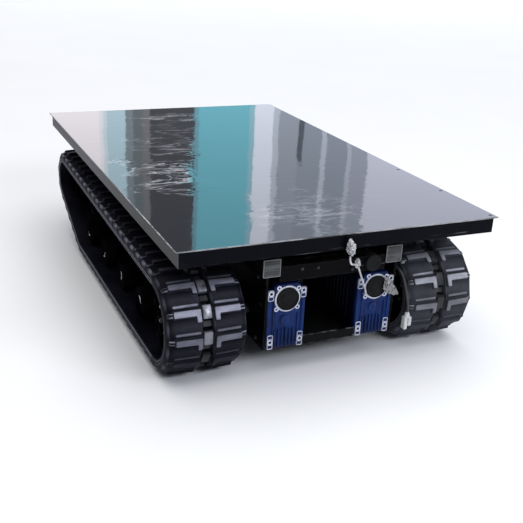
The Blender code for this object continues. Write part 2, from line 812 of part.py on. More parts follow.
def smooth_route(points, spacing):
    """Points a spacing apart on a Catmull-Rom curve through the route."""
    ends = [2 * Vector(points[0]) - Vector(points[1]), 2 * Vector(points[-1]) - Vector(points[-2])]
    p = [ends[0], *map(Vector, points), ends[1]]
    fine = [Vector(points[0])]
    for n in range(1, len(p) - 2):
        for step in range(1, 21):
            t = step / 20
            fine.append(0.5 * (
                2 * p[n] + (p[n + 1] - p[n - 1]) * t
                + (2 * p[n - 1] - 5 * p[n] + 4 * p[n + 1] - p[n + 2]) * t * t
                + (3 * p[n] - p[n - 1] - 3 * p[n + 1] + p[n + 2]) * t ** 3
            ))
    total = sum((b - a).length for a, b in zip(fine, fine[1:]))
    count = max(3, round(total / spacing))
    kept, walked, due = [fine[0]], 0.0, total / count
    for a, b in zip(fine, fine[1:]):
        walked += (b - a).length
        if walked >= due - 1e-9 and len(kept) < count:
            kept.append(b)
            due += total / count
    kept.append(fine[-1])
    return kept


def add_lead(name, route, radius, finish):
    """A lead as a curve object with a round section and filled ends."""
    points = smooth_route(route, radius * 5)
    curve = bpy.data.curves.new(name, "CURVE")
    curve.dimensions = "3D"
    curve.bevel_depth = radius
    curve.bevel_resolution = 2
    curve.use_fill_caps = True
    spline = curve.splines.new("POLY")
    spline.points.add(len(points) - 1)
    for point, place in zip(spline.points, points):
        point.co = (*place, 1.0)
    curve.materials.append(finish())
    made = bpy.data.objects.new(name, curve)
    bpy.context.scene.collection.objects.link(made)


def make_leads():
    add_box("rim_connector", *RIM_CONNECTOR, pale_lead)
    add_lead("signal_lead", SIGNAL_LEAD_ROUTE, SIGNAL_LEAD_R, pale_lead)
    add_lead("brake_lead", BRAKE_LEAD_ROUTE, BRAKE_LEAD_R, black_plastic)
    add_box("brake_lead_plug", *BRAKE_PLUG, pale_lead)


def main():
    for old in list(bpy.data.objects):
        bpy.data.objects.remove(old, do_unlink=True)
    make_deck()
    make_rails()
    make_hull()
    make_electrics()
    for side_name, side in SIDES:
        make_housing(side_name, side)
        make_worm(side_name, side)
        make_worm_wheel(side_name, side)
        make_output_shaft(side_name, side)
        make_worm_cap(side_name, side)
        make_motor(side_name, side)
        make_belt(side_name, side)
        make_sprocket(side_name, side)
        make_wheels(side_name, side)
        make_frame(side_name, side)
        make_tensioner(side_name, side)
    make_leads()


main()
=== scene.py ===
"""Looks of a tracked chassis: a gloss deck over two rubber belts, with a worm gearbox on each side.

Metres, +Z up, front at -Y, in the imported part's frame. Each belt is a closed loop of moulded links,
so a point on it is given by its distance along the loop, its place across and its height above it.
"""
import math
import random

import bmesh
import bpy
from mathutils import Matrix, Vector, noise


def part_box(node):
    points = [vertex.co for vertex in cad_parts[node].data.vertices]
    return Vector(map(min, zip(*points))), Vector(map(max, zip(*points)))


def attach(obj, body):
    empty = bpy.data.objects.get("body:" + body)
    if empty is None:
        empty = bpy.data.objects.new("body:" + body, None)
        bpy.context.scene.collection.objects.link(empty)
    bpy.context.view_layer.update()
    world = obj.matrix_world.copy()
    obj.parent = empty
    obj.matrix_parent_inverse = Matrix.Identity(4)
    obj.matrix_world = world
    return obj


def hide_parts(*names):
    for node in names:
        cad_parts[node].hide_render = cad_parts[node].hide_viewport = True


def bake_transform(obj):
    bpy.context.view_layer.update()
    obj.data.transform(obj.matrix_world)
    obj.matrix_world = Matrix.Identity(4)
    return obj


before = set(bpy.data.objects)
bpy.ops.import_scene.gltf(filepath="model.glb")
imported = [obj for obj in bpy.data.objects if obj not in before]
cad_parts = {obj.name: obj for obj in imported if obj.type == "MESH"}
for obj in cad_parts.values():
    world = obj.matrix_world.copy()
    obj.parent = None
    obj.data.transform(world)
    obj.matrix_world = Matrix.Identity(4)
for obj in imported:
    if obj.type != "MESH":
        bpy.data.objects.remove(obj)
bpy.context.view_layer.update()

SIDES = (("left", -1), ("right", 1))
ENDS = (("front", -1), ("rear", 1))


def middle(node):
    """The middle of a CAD node's box."""
    low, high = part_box(node)
    return (low + high) / 2


# camera
CAMERA_PLACE = Vector((-0.9022, -2.1516, 0.9778))
CAMERA_HEADING = math.radians(24.86)  # clockwise from +Y, seen from above
CAMERA_DOWN = math.radians(21.86)
CAMERA_ROLL = math.radians(2.97)
CAMERA_LENS = 58.09

# deck
DECK_LOW, DECK_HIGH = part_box("deck_plate")
DECK_TOP = DECK_HIGH.z

# tracks
LINKS = 49
LINK_PITCH = 0.050
SPROCKET_TEETH = 12
PITCH_R = SPROCKET_TEETH * LINK_PITCH / (2 * math.pi)
IDLER_PITCH_R = 0.0605
BEND_R = 0.070
LUG_PHASE = 0.5  # a lug, not a window, is over the sprocket's top: in links
LUG_TOP = 0.0325
WINDOW_L = 0.022
AXLE = middle("drive_sprocket_left")
IDLER = middle("idler_left")
TRACK_X = abs(AXLE.x)
ROAD_WHEEL_Y = [middle(f"road_wheel_left_{n}").y for n in (1, 2, 3, 4)]

# gearboxes
GEARBOX_LOW, GEARBOX_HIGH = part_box("gearbox_housing_right")
GEARBOX_X = (GEARBOX_LOW.x + GEARBOX_HIGH.x) / 2
GEARBOX_FRONT = GEARBOX_LOW.y
WORM_Z = middle("worm_cap_right").z

# hull: the outer face of its side plates
HULL_PLATE_X = 0.1688

# leads, along the same routes as the part's own
SIGNAL_LEAD_R = 0.0022
SIGNAL_LEAD_ROUTE = (
    (0.002, -0.6625, 0.3068), (0.003, -0.6627, 0.2960), (0.010, -0.6580, 0.2850),
    (0.026, -0.6420, 0.2760), (0.044, -0.6260, 0.2660), (0.056, -0.6180, 0.2500),
    (0.066, -0.6140, 0.2300), (0.076, -0.6130, 0.2080), (0.0820, -0.6140, 0.1900),
    (0.0828, -0.6111, 0.1829), (0.0830, -0.6075, 0.1806), (0.0830, -0.6043, 0.1803),
)
BRAKE_LEAD_R = 0.0030
BRAKE_LEAD_ROUTE = (
    (0.1663, -0.6005, 0.2380), (0.1668, -0.6080, 0.2385), (0.1690, -0.6180, 0.2340),
    (0.1740, -0.6270, 0.2200), (0.1800, -0.6310, 0.1980), (0.1870, -0.6305, 0.1740),
    (0.1930, -0.6300, 0.1520), (0.1950, -0.6300, 0.1380), (0.1950, -0.6300, 0.1290),
)


# ---------------------------------------------------------------- materials

class Finish:
    """A material whose nodes all read the object's own coordinates."""

    def __init__(self, name):
        self.material = bpy.data.materials.new(name)
        self.material.use_nodes = True
        self.tree = self.material.node_tree
        self.shader = self.tree.nodes["Principled BSDF"]
        self.place = self.tree.nodes.new("ShaderNodeTexCoord").outputs["Object"]

    def node(self, kind, **inputs):
        made = self.tree.nodes.new(kind)
        for name, value in inputs.items():
            self.put(made.inputs[name.replace("_", " ")], value)
        return made

    def put(self, socket, value):
        if isinstance(value, bpy.types.NodeSocket):
            self.tree.links.new(value, socket)
        else:
            socket.default_value = value

    def stretched(self, scale):
        """The coordinates, scaled differently along each axis."""
        made = self.node("ShaderNodeMapping", Vector=self.place)
        made.inputs["Scale"].default_value = scale
        return made.outputs["Vector"]

    def noise(self, scale, detail=3.0, roughness=0.55, stretch=None, distortion=0.0):
        place = self.stretched(stretch) if stretch else self.place
        made = self.node(
            "ShaderNodeTexNoise", Vector=place, Scale=scale, Detail=detail,
            Roughness=roughness, Distortion=distortion,
        )
        return made.outputs["Fac"]

    def ramp(self, value, low, high, start=0.0, stop=1.0):
        """A value from low..high taken to start..stop, held at both ends."""
        made = self.node("ShaderNodeMapRange", Value=value)
        for name, number in (("From Min", low), ("From Max", high), ("To Min", start), ("To Max", stop)):
            self.put(made.inputs[name], number)
        return made.outputs["Result"]

    def math(self, operation, a, b=0.0):
        made = self.tree.nodes.new("ShaderNodeMath")
        made.operation = operation
        self.put(made.inputs[0], a)
        self.put(made.inputs[1], b)
        return made.outputs[0]

    def mix(self, share, first, second):
        made = self.tree.nodes.new("ShaderNodeMix")
        made.data_type = "RGBA"
        self.put(made.inputs["Factor"], share)
        for socket, colour in ((made.inputs[6], first), (made.inputs[7], second)):
            self.put(socket, colour if isinstance(colour, bpy.types.NodeSocket) else (*colour, 1.0))
        return made.outputs[2]

    def along(self, axis):
        """One coordinate of the place."""
        return self.node("ShaderNodeSeparateXYZ", Vector=self.place).outputs["XYZ".index(axis)]

    def attribute(self, name):
        made = self.tree.nodes.new("ShaderNodeAttribute")
        made.attribute_name = name
        return made.outputs["Fac"]

    def edges(self, radius):
        """1 along edges, out to about the radius."""
        rounded = self.tree.nodes.new("ShaderNodeBevel")
        rounded.samples = 4
        rounded.inputs["Radius"].default_value = radius
        flat = self.tree.nodes.new("ShaderNodeNewGeometry")
        same = self.tree.nodes.new("ShaderNodeVectorMath")
        same.operation = "DOT_PRODUCT"
        self.put(same.inputs[0], rounded.outputs["Normal"])
        self.put(same.inputs[1], flat.outputs["Normal"])
        return self.ramp(same.outputs["Value"], 0.995, 0.93)

    def bump(self, height, strength, distance, under=None):
        made = self.node("ShaderNodeBump", Height=height, Strength=strength, Distance=distance)
        if under is not None:
            self.put(made.inputs["Normal"], under)
        return made.outputs["Normal"]

    def surface(self, **inputs):
        for name, value in inputs.items():
            self.put(self.shader.inputs[name.replace("_", " ")], value)
        return self.material


# where the deck's sheet is wrinkled: the middle of each patch, its radius and how strongly
WRINKLED = (
    ((-0.235, -0.060), 0.11, 1.00), ((-0.245, -0.215), 0.10, 0.85), ((-0.165, 0.020), 0.08, 0.60),
    ((-0.130, 0.180), 0.14, 0.45), ((-0.060, 0.340), 0.12, 0.30), ((-0.020, 0.520), 0.10, 0.55),
)
# where the same painted crease highlights show without a wrinkle
CREASE_HIGHLIGHT_PATCHES = (((-0.040, -0.520), 0.11, 0.30), ((0.050, -0.430), 0.08, 0.18))
# The creases end along a straight line on the deck: the direction across it, and where on that direction
# they fade out. It was placed so that, in the photograph's view, they end where the dark mirrored band does.
CREASE_LINE_ACROSS = (0.9411, -0.3381, 0.0)
CREASE_LINE_AT = (-0.136, -0.122)
# where it only waves, so that what it mirrors is smeared sideways
WAVY = (
    ((-0.330, -0.400), 0.22, 0.20), ((-0.200, 0.300), 0.35, 0.30), ((-0.030, -0.520), 0.20, 0.55),
    ((0.150, -0.300), 0.30, 0.30), ((-0.300, 0.480), 0.20, 0.40),
)


def patches(f, spots, ragged):
    """The strongest of several round patches with ragged borders."""
    found = None
    for (x, y), radius, strength in spots:
        away = f.node("ShaderNodeVectorMath", Vector=f.place)
        away.operation = "DISTANCE"
        away.inputs[1].default_value = (x, y, DECK_TOP)
        near = f.ramp(f.math("ADD", away.outputs["Value"], ragged), radius, radius * 0.5, 0.0, strength)
        found = near if found is None else f.math("MAXIMUM", found, near)
    return found


def gloss_deck_finish():
    """Sprayed gloss black on thin sheet: soft waves, and patches where it has creased, with pale painted
    highlights along the creases.
    """
    f = Finish("gloss_deck")
    ragged = f.ramp(f.noise(11.0, 3.0, 0.6), 0.30, 0.70, -0.06, 0.06)
    creased = patches(f, WRINKLED, ragged)
    waved = patches(f, WAVY, ragged)
    height = None
    broken = f.ramp(f.noise(15.0, 2.0, 0.5, (0.6, 1.3, 1.0)), 0.42, 0.56)
    across = f.node("ShaderNodeVectorMath", Vector=f.place)
    across.operation = "DOT_PRODUCT"
    across.inputs[1].default_value = CREASE_LINE_ACROSS
    broken = f.math("MULTIPLY", broken, f.ramp(across.outputs["Value"], *CREASE_LINE_AT, 1.0, 0.0))
    crease_highlight = None
    # each crease gets a narrow pale line along it: a painted highlight
    for scale, width, share in ((11.0, 0.075, 1.0), (19.0, 0.085, 0.5)):
        line = f.math("ABSOLUTE", f.math("SUBTRACT", f.noise(scale, 2.5, 0.6, (0.55, 1.9, 1.0), 0.7), 0.5))
        crease = f.math("MULTIPLY", f.ramp(line, width, 0.0), share)
        crease_highlight_line = f.ramp(line, 0.036, 0.010)
        height = crease if height is None else f.math("ADD", height, crease)
        crease_highlight = crease_highlight_line if crease_highlight is None else f.math("MAXIMUM", crease_highlight, crease_highlight_line)
    crease_highlight_patches = patches(f, CREASE_HIGHLIGHT_PATCHES, ragged)
    # the painted crease highlights show where the sheet is creased and in the highlight patches
    crease_highlight = f.math("MULTIPLY", crease_highlight, f.math("MAXIMUM", f.math("MULTIPLY", creased, broken), crease_highlight_patches))
    creases = f.bump(f.math("MULTIPLY", f.math("MULTIPLY", height, creased), broken), 1.0, 0.00034)
    wave = f.math("MULTIPLY", f.noise(26.0, 3.0, 0.5, (0.35, 1.6, 1.0)), f.math("MAXIMUM", waved, creased))
    haze = f.noise(7.0, 4.0, 0.6, stretch=(1.0, 3.0, 1.0))
    paint = f.mix(haze, (0.002, 0.0025, 0.004), (0.006, 0.007, 0.009))
    return f.surface(
        Base_Color=f.mix(crease_highlight, paint, (0.50, 0.50, 0.53)),
        Roughness=f.ramp(haze, 0.35, 0.75, 0.020, 0.060),
        Normal=f.bump(wave, 1.0, 0.0005, creases),
        IOR=1.95,
    )


def worn_lip_and_highlight_finish():
    """The deck's sheared edge: black with the paint rubbed through to bright steel in places, and a painted
    highlight that grows towards the front.
    """
    f = Finish("worn_lip_and_highlight")
    scratch = f.ramp(f.noise(60.0, 5.0, 0.7, stretch=(0.15, 0.4, 1.0)), 0.40, 0.60)
    # painted highlight: the lip is brighter towards the front
    near = f.ramp(f.along("Y"), -0.15, -0.50, 0.10, 1.0)
    front = f.ramp(f.along("Y"), DECK_LOW.y + 0.006, DECK_LOW.y + 0.003, 1.0, 0.42)
    bright = f.math("MULTIPLY", f.math("MULTIPLY", scratch, near), front)
    return f.surface(
        Base_Color=f.mix(bright, (0.05, 0.05, 0.055), (0.80, 0.80, 0.82)),
        Metallic=f.ramp(bright, 0.3, 0.7, 0.0, 0.6),
        Roughness=0.30,
        Normal=f.bump(scratch, 0.3, 0.0004),
    )


def painted_finish(name, colour, dust, roughness, specular, chips=0.35, dust_and_sheen=None):
    """Sprayed dark paint: orange peel, dust in soft patches and fine scratches, rubbed at the edges;
    dust_and_sheen adds dust with a painted sheen that grows along Y.
    """
    f = Finish(name)
    patch = f.noise(6.0, 5.0, 0.6)
    grime = f.noise(45.0, 4.0, 0.65)
    scratch = f.ramp(f.noise(34.0, 3.0, 0.5, stretch=(0.25, 1.0, 5.0)), 0.66, 0.72)
    dirty = f.math("MULTIPLY", f.ramp(patch, 0.40, 0.75), f.ramp(grime, 0.30, 0.70))
    # dust with a painted sheen that grows along Y
    if dust_and_sheen:
        dirty = f.math("ADD", f.math("MULTIPLY", dirty, 0.3), f.ramp(f.along("Y"), *dust_and_sheen))
    rubbed = f.math("MULTIPLY", f.edges(0.0020), f.math("MULTIPLY", f.ramp(grime, 0.45, 0.60), chips))
    base = f.mix(dirty, colour, dust)
    marked = f.mix(f.math("MAXIMUM", f.math("MULTIPLY", scratch, 0.25), rubbed), base, (0.30, 0.30, 0.31))
    peel = f.bump(f.noise(420.0, 2.0), 0.10, 0.0003)
    return f.surface(
        Base_Color=marked,
        Roughness=f.ramp(dirty, 0.0, 1.0, roughness, roughness + 0.25),
        Normal=f.bump(scratch, 0.15, 0.0002, peel),
        Specular_IOR_Level=specular,
    )


def rubber_finish(name, dark, worn, polish=0.50, specular=0.5):
    """Moulded rubber, greyer where the wear_and_highlight attribute marks both ground rubbing and painted
    highlight, with a painted highlight along its edges.
    """
    f = Finish(name)
    wear_and_highlight = f.attribute("wear_and_highlight")
    cloud = f.noise(11.0, 5.0, 0.6)
    grain = f.noise(260.0, 3.0, 0.6)
    scuff = f.noise(70.0, 4.0, 0.65, stretch=(0.35, 1.0, 1.0))
    # painted highlight along the edges, as strong as the rubbing and highlight value
    edge_highlight = f.math("MULTIPLY", f.edges(0.0016), f.ramp(wear_and_highlight, 0.05, 0.40, 0.06, 0.85))
    # rubbed stands for ground rubbing and painted highlight together
    rubbed = f.math("MULTIPLY", f.math("MAXIMUM", wear_and_highlight, edge_highlight), f.ramp(scuff, 0.25, 0.60, 0.55, 1.0))
    dusty = f.mix(f.ramp(cloud, 0.35, 0.72), dark, tuple(c * 2.0 + 0.006 for c in dark))
    return f.surface(
        # worn is the colour of the rubbed rubber and of its painted highlights
        Base_Color=f.mix(rubbed, dusty, worn),
        Roughness=f.ramp(scuff, 0.3, 0.7, polish, polish + 0.2),
        Normal=f.bump(grain, 0.35, 0.0005, f.bump(scuff, 0.25, 0.0012)),
        Specular_IOR_Level=specular,
    )


def metal_finish(name, colour, dirt, roughness, metallic=1.0, stretch=None, worn=False):
    """Bare metal with turning or rubbing marks, and dirt where it has settled or isn't worn off; with worn
    set, the dirt also clears as a painted highlight where the wear_and_highlight value is high.
    """
    f = Finish(name)
    marks = f.noise(150.0, 4.0, 0.6, stretch=stretch)
    stain = f.ramp(f.noise(24.0, 5.0, 0.65), 0.42, 0.70)
    if worn:
        stain = f.math("MAXIMUM", stain, f.ramp(f.attribute("wear_and_highlight"), 0.10, 0.90, 1.0, 0.0))
    return f.surface(
        Base_Color=f.mix(stain, colour, dirt),
        Metallic=f.ramp(stain, 0.0, 1.0, metallic, metallic * 0.6),
        Roughness=f.ramp(marks, 0.3, 0.7, roughness, roughness + 0.18),
        Normal=f.bump(marks, 0.2, 0.0003),
    )


def casting_finish():
    """Blue enamel on die-cast aluminium: a sandy skin, streaked, with painted shade towards the top and the
    back, and darker towards the bottom.
    """
    f = Finish("blue_casting")
    sand = f.noise(330.0, 3.0, 0.6)
    streak = f.noise(26.0, 4.0, 0.6, stretch=(3.0, 1.0, 0.5))
    # painted shade towards the top, under the deck
    painted_top_shade = f.ramp(f.along("Z"), 0.165, 0.225)
    # darker towards the bottom
    low = f.ramp(f.along("Z"), 0.110, 0.072)
    colour = f.mix(f.ramp(streak, 0.35, 0.70), (0.0012, 0.0085, 0.056), (0.0050, 0.032, 0.165))
    darkened = f.mix(f.math("MULTIPLY", f.math("MAXIMUM", painted_top_shade, low), 0.72), colour, (0.003, 0.007, 0.040))
    # painted shade towards the back, where the casting runs in under the deck
    back = f.ramp(f.along("Y"), GEARBOX_FRONT + 0.005, GEARBOX_FRONT + 0.016)
    rubbed = f.math("MULTIPLY", f.edges(0.0010), 0.18)
    face = f.mix(rubbed, darkened, (0.10, 0.16, 0.34))
    return f.surface(
        Base_Color=f.mix(back, face, (0.0022, 0.0035, 0.012)),
        Roughness=f.ramp(streak, 0.3, 0.7, 0.34, 0.55),
        Normal=f.bump(sand, 0.25, 0.0004),
        Specular_IOR_Level=0.16,
    )


def moulded_finish(name, colour, shade, roughness, stripe=None, specular=0.5):
    """Moulded plastic with a fine grain, cloudy with handling. Stripe is the scale of fine level bands."""
    f = Finish(name)
    cloud = f.noise(30.0, 5.0, 0.6)
    grain = f.noise(380.0, 2.0)
    normal = f.bump(grain, 0.15, 0.0003)
    share = f.ramp(cloud, 0.35, 0.70)
    if stripe:
        line = f.noise(stripe, 2.0, 0.5, stretch=(0.15, 0.3, 1.0))
        share = f.math("MAXIMUM", f.math("MULTIPLY", share, 0.5), f.ramp(line, 0.44, 0.56))
    return f.surface(
        Base_Color=f.mix(share, colour, shade),
        Roughness=f.ramp(cloud, 0.3, 0.7, roughness, roughness + 0.15),
        Normal=normal,
        Specular_IOR_Level=specular,
    )


def film_finish(name, pale):
    """Clear wrapping film, crushed: it is milky where it is folded and shows what is under it elsewhere."""
    f = Finish(name)
    fold = f.noise(120.0, 5.0, 0.7, distortion=1.5)
    milky = f.ramp(fold, 0.38, 0.58)
    return f.surface(
        Base_Color=f.mix(milky, tuple(0.2 * c for c in pale), pale),
        Roughness=f.ramp(fold, 0.3, 0.7, 0.12, 0.38),
        Alpha=f.ramp(fold, 0.34, 0.50, 0.35, 1.0),
        Normal=f.bump(fold, 0.8, 0.0015),
    )


def floor_finish():
    """Pale seamless floor with the faintest mottle."""
    f = Finish("pale_floor")
    mottle = f.noise(1.5, 3.0)
    return f.surface(
        Base_Color=f.mix(mottle, (0.86, 0.86, 0.87), (0.90, 0.90, 0.90)),
        Roughness=0.8,
        Specular_IOR_Level=0.1,
    )


GLOSS = gloss_deck_finish()
LIP = worn_lip_and_highlight_finish()
RIM = painted_finish("rim_paint", (0.0022, 0.0026, 0.0048), (0.005, 0.005, 0.008), 0.35, 0.04, 0.10)
# the rims' sides: dust together with a painted sheen, lighter towards the rear
RIM_SIDE = painted_finish(
    "rim_side_paint", (0.008, 0.009, 0.012), (0.160, 0.160, 0.175), 0.36, 0.08, 0.6, dust_and_sheen=(-0.40, 0.14)
)
PAINT = painted_finish("chassis_paint", (0.0016, 0.0016, 0.0022), (0.005, 0.005, 0.006), 0.45, 0.05, 0.10)
# the apron's edges are rubbed pale everywhere, which also paints the highlight along its lip's top edge
APRON = painted_finish("apron_paint", (0.0030, 0.0032, 0.0036), (0.008, 0.008, 0.008), 0.45, 0.06, 1.0)
MOTOR_PAINT = painted_finish("motor_paint", (0.003, 0.003, 0.004), (0.009, 0.009, 0.010), 0.40, 0.10, 0.2)
# one rubber for both belts: the left belt's darker base is painted shade and the right belt's lighter base is
# painted light
RUBBER = {
    "left": rubber_finish("belt_rubber_left", (0.0014, 0.0015, 0.0042), (0.360, 0.365, 0.450), 0.38, 0.04),
    "right": rubber_finish("belt_rubber_right", (0.0150, 0.0160, 0.0215), (0.400, 0.405, 0.450), 0.46, 0.07),
}
# black rubber made darker than rubber is, as painted shade
TYRE = rubber_finish("tyre_rubber", (0.0007, 0.0007, 0.0012), (0.003, 0.003, 0.005), 0.70, 0.0)
# one steel for both belts' cores: the left copy, bright where the wear_and_highlight value is high, is
# painted highlight; the right copy's dull colour is painted shade
CORE = {
    "left": metal_finish("core_steel_lit", (0.50, 0.50, 0.56), (0.008, 0.008, 0.012), 0.34, 0.6, None, True),
    "right": metal_finish("core_steel_shaded", (0.030, 0.030, 0.034), (0.014, 0.014, 0.016), 0.50, 0.3),
}
STEEL = metal_finish("worn_steel", (0.30, 0.30, 0.33), (0.06, 0.055, 0.05), 0.35)
# black enamel made darker than paint is: painted shade inside the belt's loop, on the wheels, idlers and
# sprockets
DARK_STEEL = painted_finish(
    "wheel_enamel", (0.0006, 0.0006, 0.0012), (0.0012, 0.0012, 0.0018), 0.60, 0.0, 0.15
)
# pale metal on the hubs' curls: a painted glint
HUB_GLINT = metal_finish("hub_glint_paint", (0.80, 0.80, 0.84), (0.35, 0.35, 0.36), 0.50, 0.15)
ZINC = metal_finish("bolt_zinc", (0.20, 0.20, 0.22), (0.06, 0.06, 0.06), 0.35)
DULL_ZINC = metal_finish("dull_zinc", (0.050, 0.050, 0.054), (0.012, 0.012, 0.012), 0.45, 0.5)
BRASS = metal_finish("gear_bronze", (0.52, 0.34, 0.15), (0.20, 0.12, 0.06), 0.35, 1.0, (1.0, 4.0, 4.0))
MACHINED = metal_finish("machined_face", (0.74, 0.75, 0.82), (0.42, 0.44, 0.55), 0.32, 0.35)
BLUE = casting_finish()
CAP_BLACK = moulded_finish(
    "cap_black", (0.0035, 0.0042, 0.0045), (0.0100, 0.0105, 0.0105), 0.55, specular=0.12
)
CAP_GREY = moulded_finish("cap_grey", (0.040, 0.043, 0.046), (0.092, 0.096, 0.098), 0.50, 130.0, 0.3)
PALE = moulded_finish("pale_plastic", (0.44, 0.44, 0.46), (0.66, 0.66, 0.66), 0.40)
CASE = moulded_finish("case_grey", (0.16, 0.165, 0.17), (0.24, 0.245, 0.25), 0.45)
BLACK_CASE = moulded_finish("case_black", (0.014, 0.014, 0.015), (0.030, 0.030, 0.031), 0.50)
CABLE = moulded_finish("cable_black", (0.016, 0.016, 0.017), (0.040, 0.040, 0.042), 0.40)
FILM = film_finish("crushed_film", (0.66, 0.66, 0.68))
DUSTY_FILM = film_finish("dusty_film", (0.34, 0.34, 0.34))


# ---------------------------------------------------------------- mesh building

def offset(outline, distance):
    """A closed outline moved outward, each corner along its mitre. The outline turns left."""
    moved = []
    count = len(outline)
    for n, (x, y) in enumerate(outline):
        px, py = outline[n - 1]
        qx, qy = outline[(n + 1) % count]
        first = Vector((y - py, px - x)).normalized()
        second = Vector((qy - y, x - qx)).normalized()
        mitre = first + second
        mitre *= distance / max(mitre.dot(first), 0.3)
        moved.append((x + mitre.x, y + mitre.y))
    return moved


def chamfered(outline, size):
    """A closed outline with each corner cut off."""
    cut = []
    count = len(outline)
    for n, corner in enumerate(outline):
        here = Vector(corner)
        for other in (Vector(outline[n - 1]), Vector(outline[(n + 1) % count])):
            span = (other - here).length
            cut.append(tuple(here + (other - here) * min(size / span, 0.45)))
    return cut


def rectangle(low, high):
    return [(low[0], low[1]), (high[0], low[1]), (high[0], high[1]), (low[0], high[1])]


def rounded_box(low, high, radius):
    """A rectangle's outline with round corners."""
    steps = 4
    outline = []
    for n, (sx, sy) in enumerate(((-1, -1), (1, -1), (1, 1), (-1, 1))):
        cx = (low[0] + radius) if sx < 0 else (high[0] - radius)
        cy = (low[1] + radius) if sy < 0 else (high[1] - radius)
        for k in range(steps + 1):
            a = math.pi + math.pi / 2 * (n + k / steps)
            outline.append((cx + radius * math.cos(a), cy + radius * math.sin(a)))
    return outline


def circle(centre, radius, sides, phase=0.0):
    return [
        (
            centre[0] + radius * math.cos(2 * math.pi * (n + phase) / sides),
            centre[1] + radius * math.sin(2 * math.pi * (n + phase) / sides),
        )
        for n in range(sides)
    ]


def loft(bm, rings, slot=0, closed_ends=True):
    """A skin over rings that all have the same number of points."""
    loops = [[bm.verts.new(p) for p in ring] for ring in rings]
    made = []
    for a, b in zip(loops, loops[1:]):
        for n in range(len(a)):
            m = (n + 1) % len(a)
            made.append(bm.faces.new((a[n], a[m], b[m], b[n])))
    if closed_ends:
        made += [bm.faces.new(loops[0]), bm.faces.new(loops[-1])]
    for face in made:
        face.material_index = slot
    return loops


AXIS_ORDER = {"X": (2, 0, 1), "Y": (0, 2, 1), "Z": (0, 1, 2)}


def placed(axis, u, v, along):
    """A point from two coordinates across an axis and one along it."""
    order = AXIS_ORDER[axis]
    return tuple((u, v, along)[k] for k in order)


def slab(bm, outline, axis, low, high, edge, slot=0):
    """An outline given across an axis, with rounded edges at both ends."""
    steps = ((low, -edge), (low + edge * 0.3, -edge * 0.3), (low + edge, 0.0))
    steps += ((high - edge, 0.0), (high - edge * 0.3, -edge * 0.3), (high, -edge))
    loft(bm, [[placed(axis, u, v, at) for u, v in offset(outline, d)] for at, d in steps], slot)


def ring(bm, axis, centre, outer, inner, low, high, edge, sides=40, slot=0):
    """A flat ring with rounded edges. The centre is given across the axis."""
    section = (
        (low, inner), (low, outer), (high - edge, outer), (high - edge * 0.3, outer - edge * 0.3),
        (high, outer - edge), (high, inner + edge), (high - edge * 0.3, inner + edge * 0.3),
        (high - edge, inner), (low, inner),
    )
    rings = [[placed(axis, u, v, at) for u, v in circle(centre, r, sides)] for at, r in section]
    loft(bm, rings, slot, False)


def turned(bm, axis, centre, profile, sides=32, slot=0):
    """A solid of revolution from (along, radius) pairs."""
    loft(bm, [[placed(axis, u, v, at) for u, v in circle(centre, r, sides)] for at, r in profile], slot)


def bolt(bm, axis, centre, face, out, radius, slot=0, sides=6):
    """A hexagon head with a washer and a domed top. Out is +1 or -1 along the axis."""
    turned(bm, axis, centre, [
        (face, radius * 1.30), (face + out * radius * 0.22, radius * 1.30),
        (face + out * radius * 0.25, radius * 0.9),
    ], 20, slot)
    turned(bm, axis, centre, [
        (face + out * radius * 0.20, radius), (face + out * radius * 0.85, radius),
        (face + out * radius * 1.05, radius * 0.82), (face + out * radius * 1.10, radius * 0.45),
    ], sides, slot)


def piece(name, build, finishes, body, stands_for=(), angle=32):
    """A mesh object that rides on a body. Build fills a bmesh."""
    bm = bmesh.new()
    build(bm)
    bmesh.ops.remove_doubles(bm, verts=bm.verts, dist=1e-7)
    bmesh.ops.recalc_face_normals(bm, faces=bm.faces)
    mesh = bpy.data.meshes.new(name)
    bm.to_mesh(mesh)
    bm.free()
    for finish in finishes if isinstance(finishes, (list, tuple)) else [finishes]:
        mesh.materials.append(finish)
    mesh.shade_smooth()
    mesh.set_sharp_from_angle(angle=math.radians(angle))
    made = bpy.data.objects.new(name, mesh)
    bpy.context.scene.collection.objects.link(made)
    if stands_for:
        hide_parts(*stands_for)
    if body:
        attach(made, body)
    return made


# ---------------------------------------------------------------- camera, leads and studio

def heading_vector(angle):
    return Vector((math.sin(angle), math.cos(angle), 0.0))


def add_camera():
    ahead = heading_vector(CAMERA_HEADING)
    look = ahead * math.cos(CAMERA_DOWN) - Vector((0, 0, math.sin(CAMERA_DOWN)))
    right = look.cross(Vector((0, 0, 1))).normalized()
    level = Matrix((right, right.cross(look), -look)).transposed()
    data = bpy.data.cameras.new("camera")
    data.lens = CAMERA_LENS
    data.sensor_width = 36.0
    data.clip_end = 200.0
    made = bpy.data.objects.new("camera", data)
    tilt = Matrix.Rotation(CAMERA_ROLL, 3, -look)
    made.matrix_world = Matrix.Translation(CAMERA_PLACE) @ (tilt @ level).to_4x4()
    bpy.context.scene.collection.objects.link(made)
    bpy.context.scene.camera = made


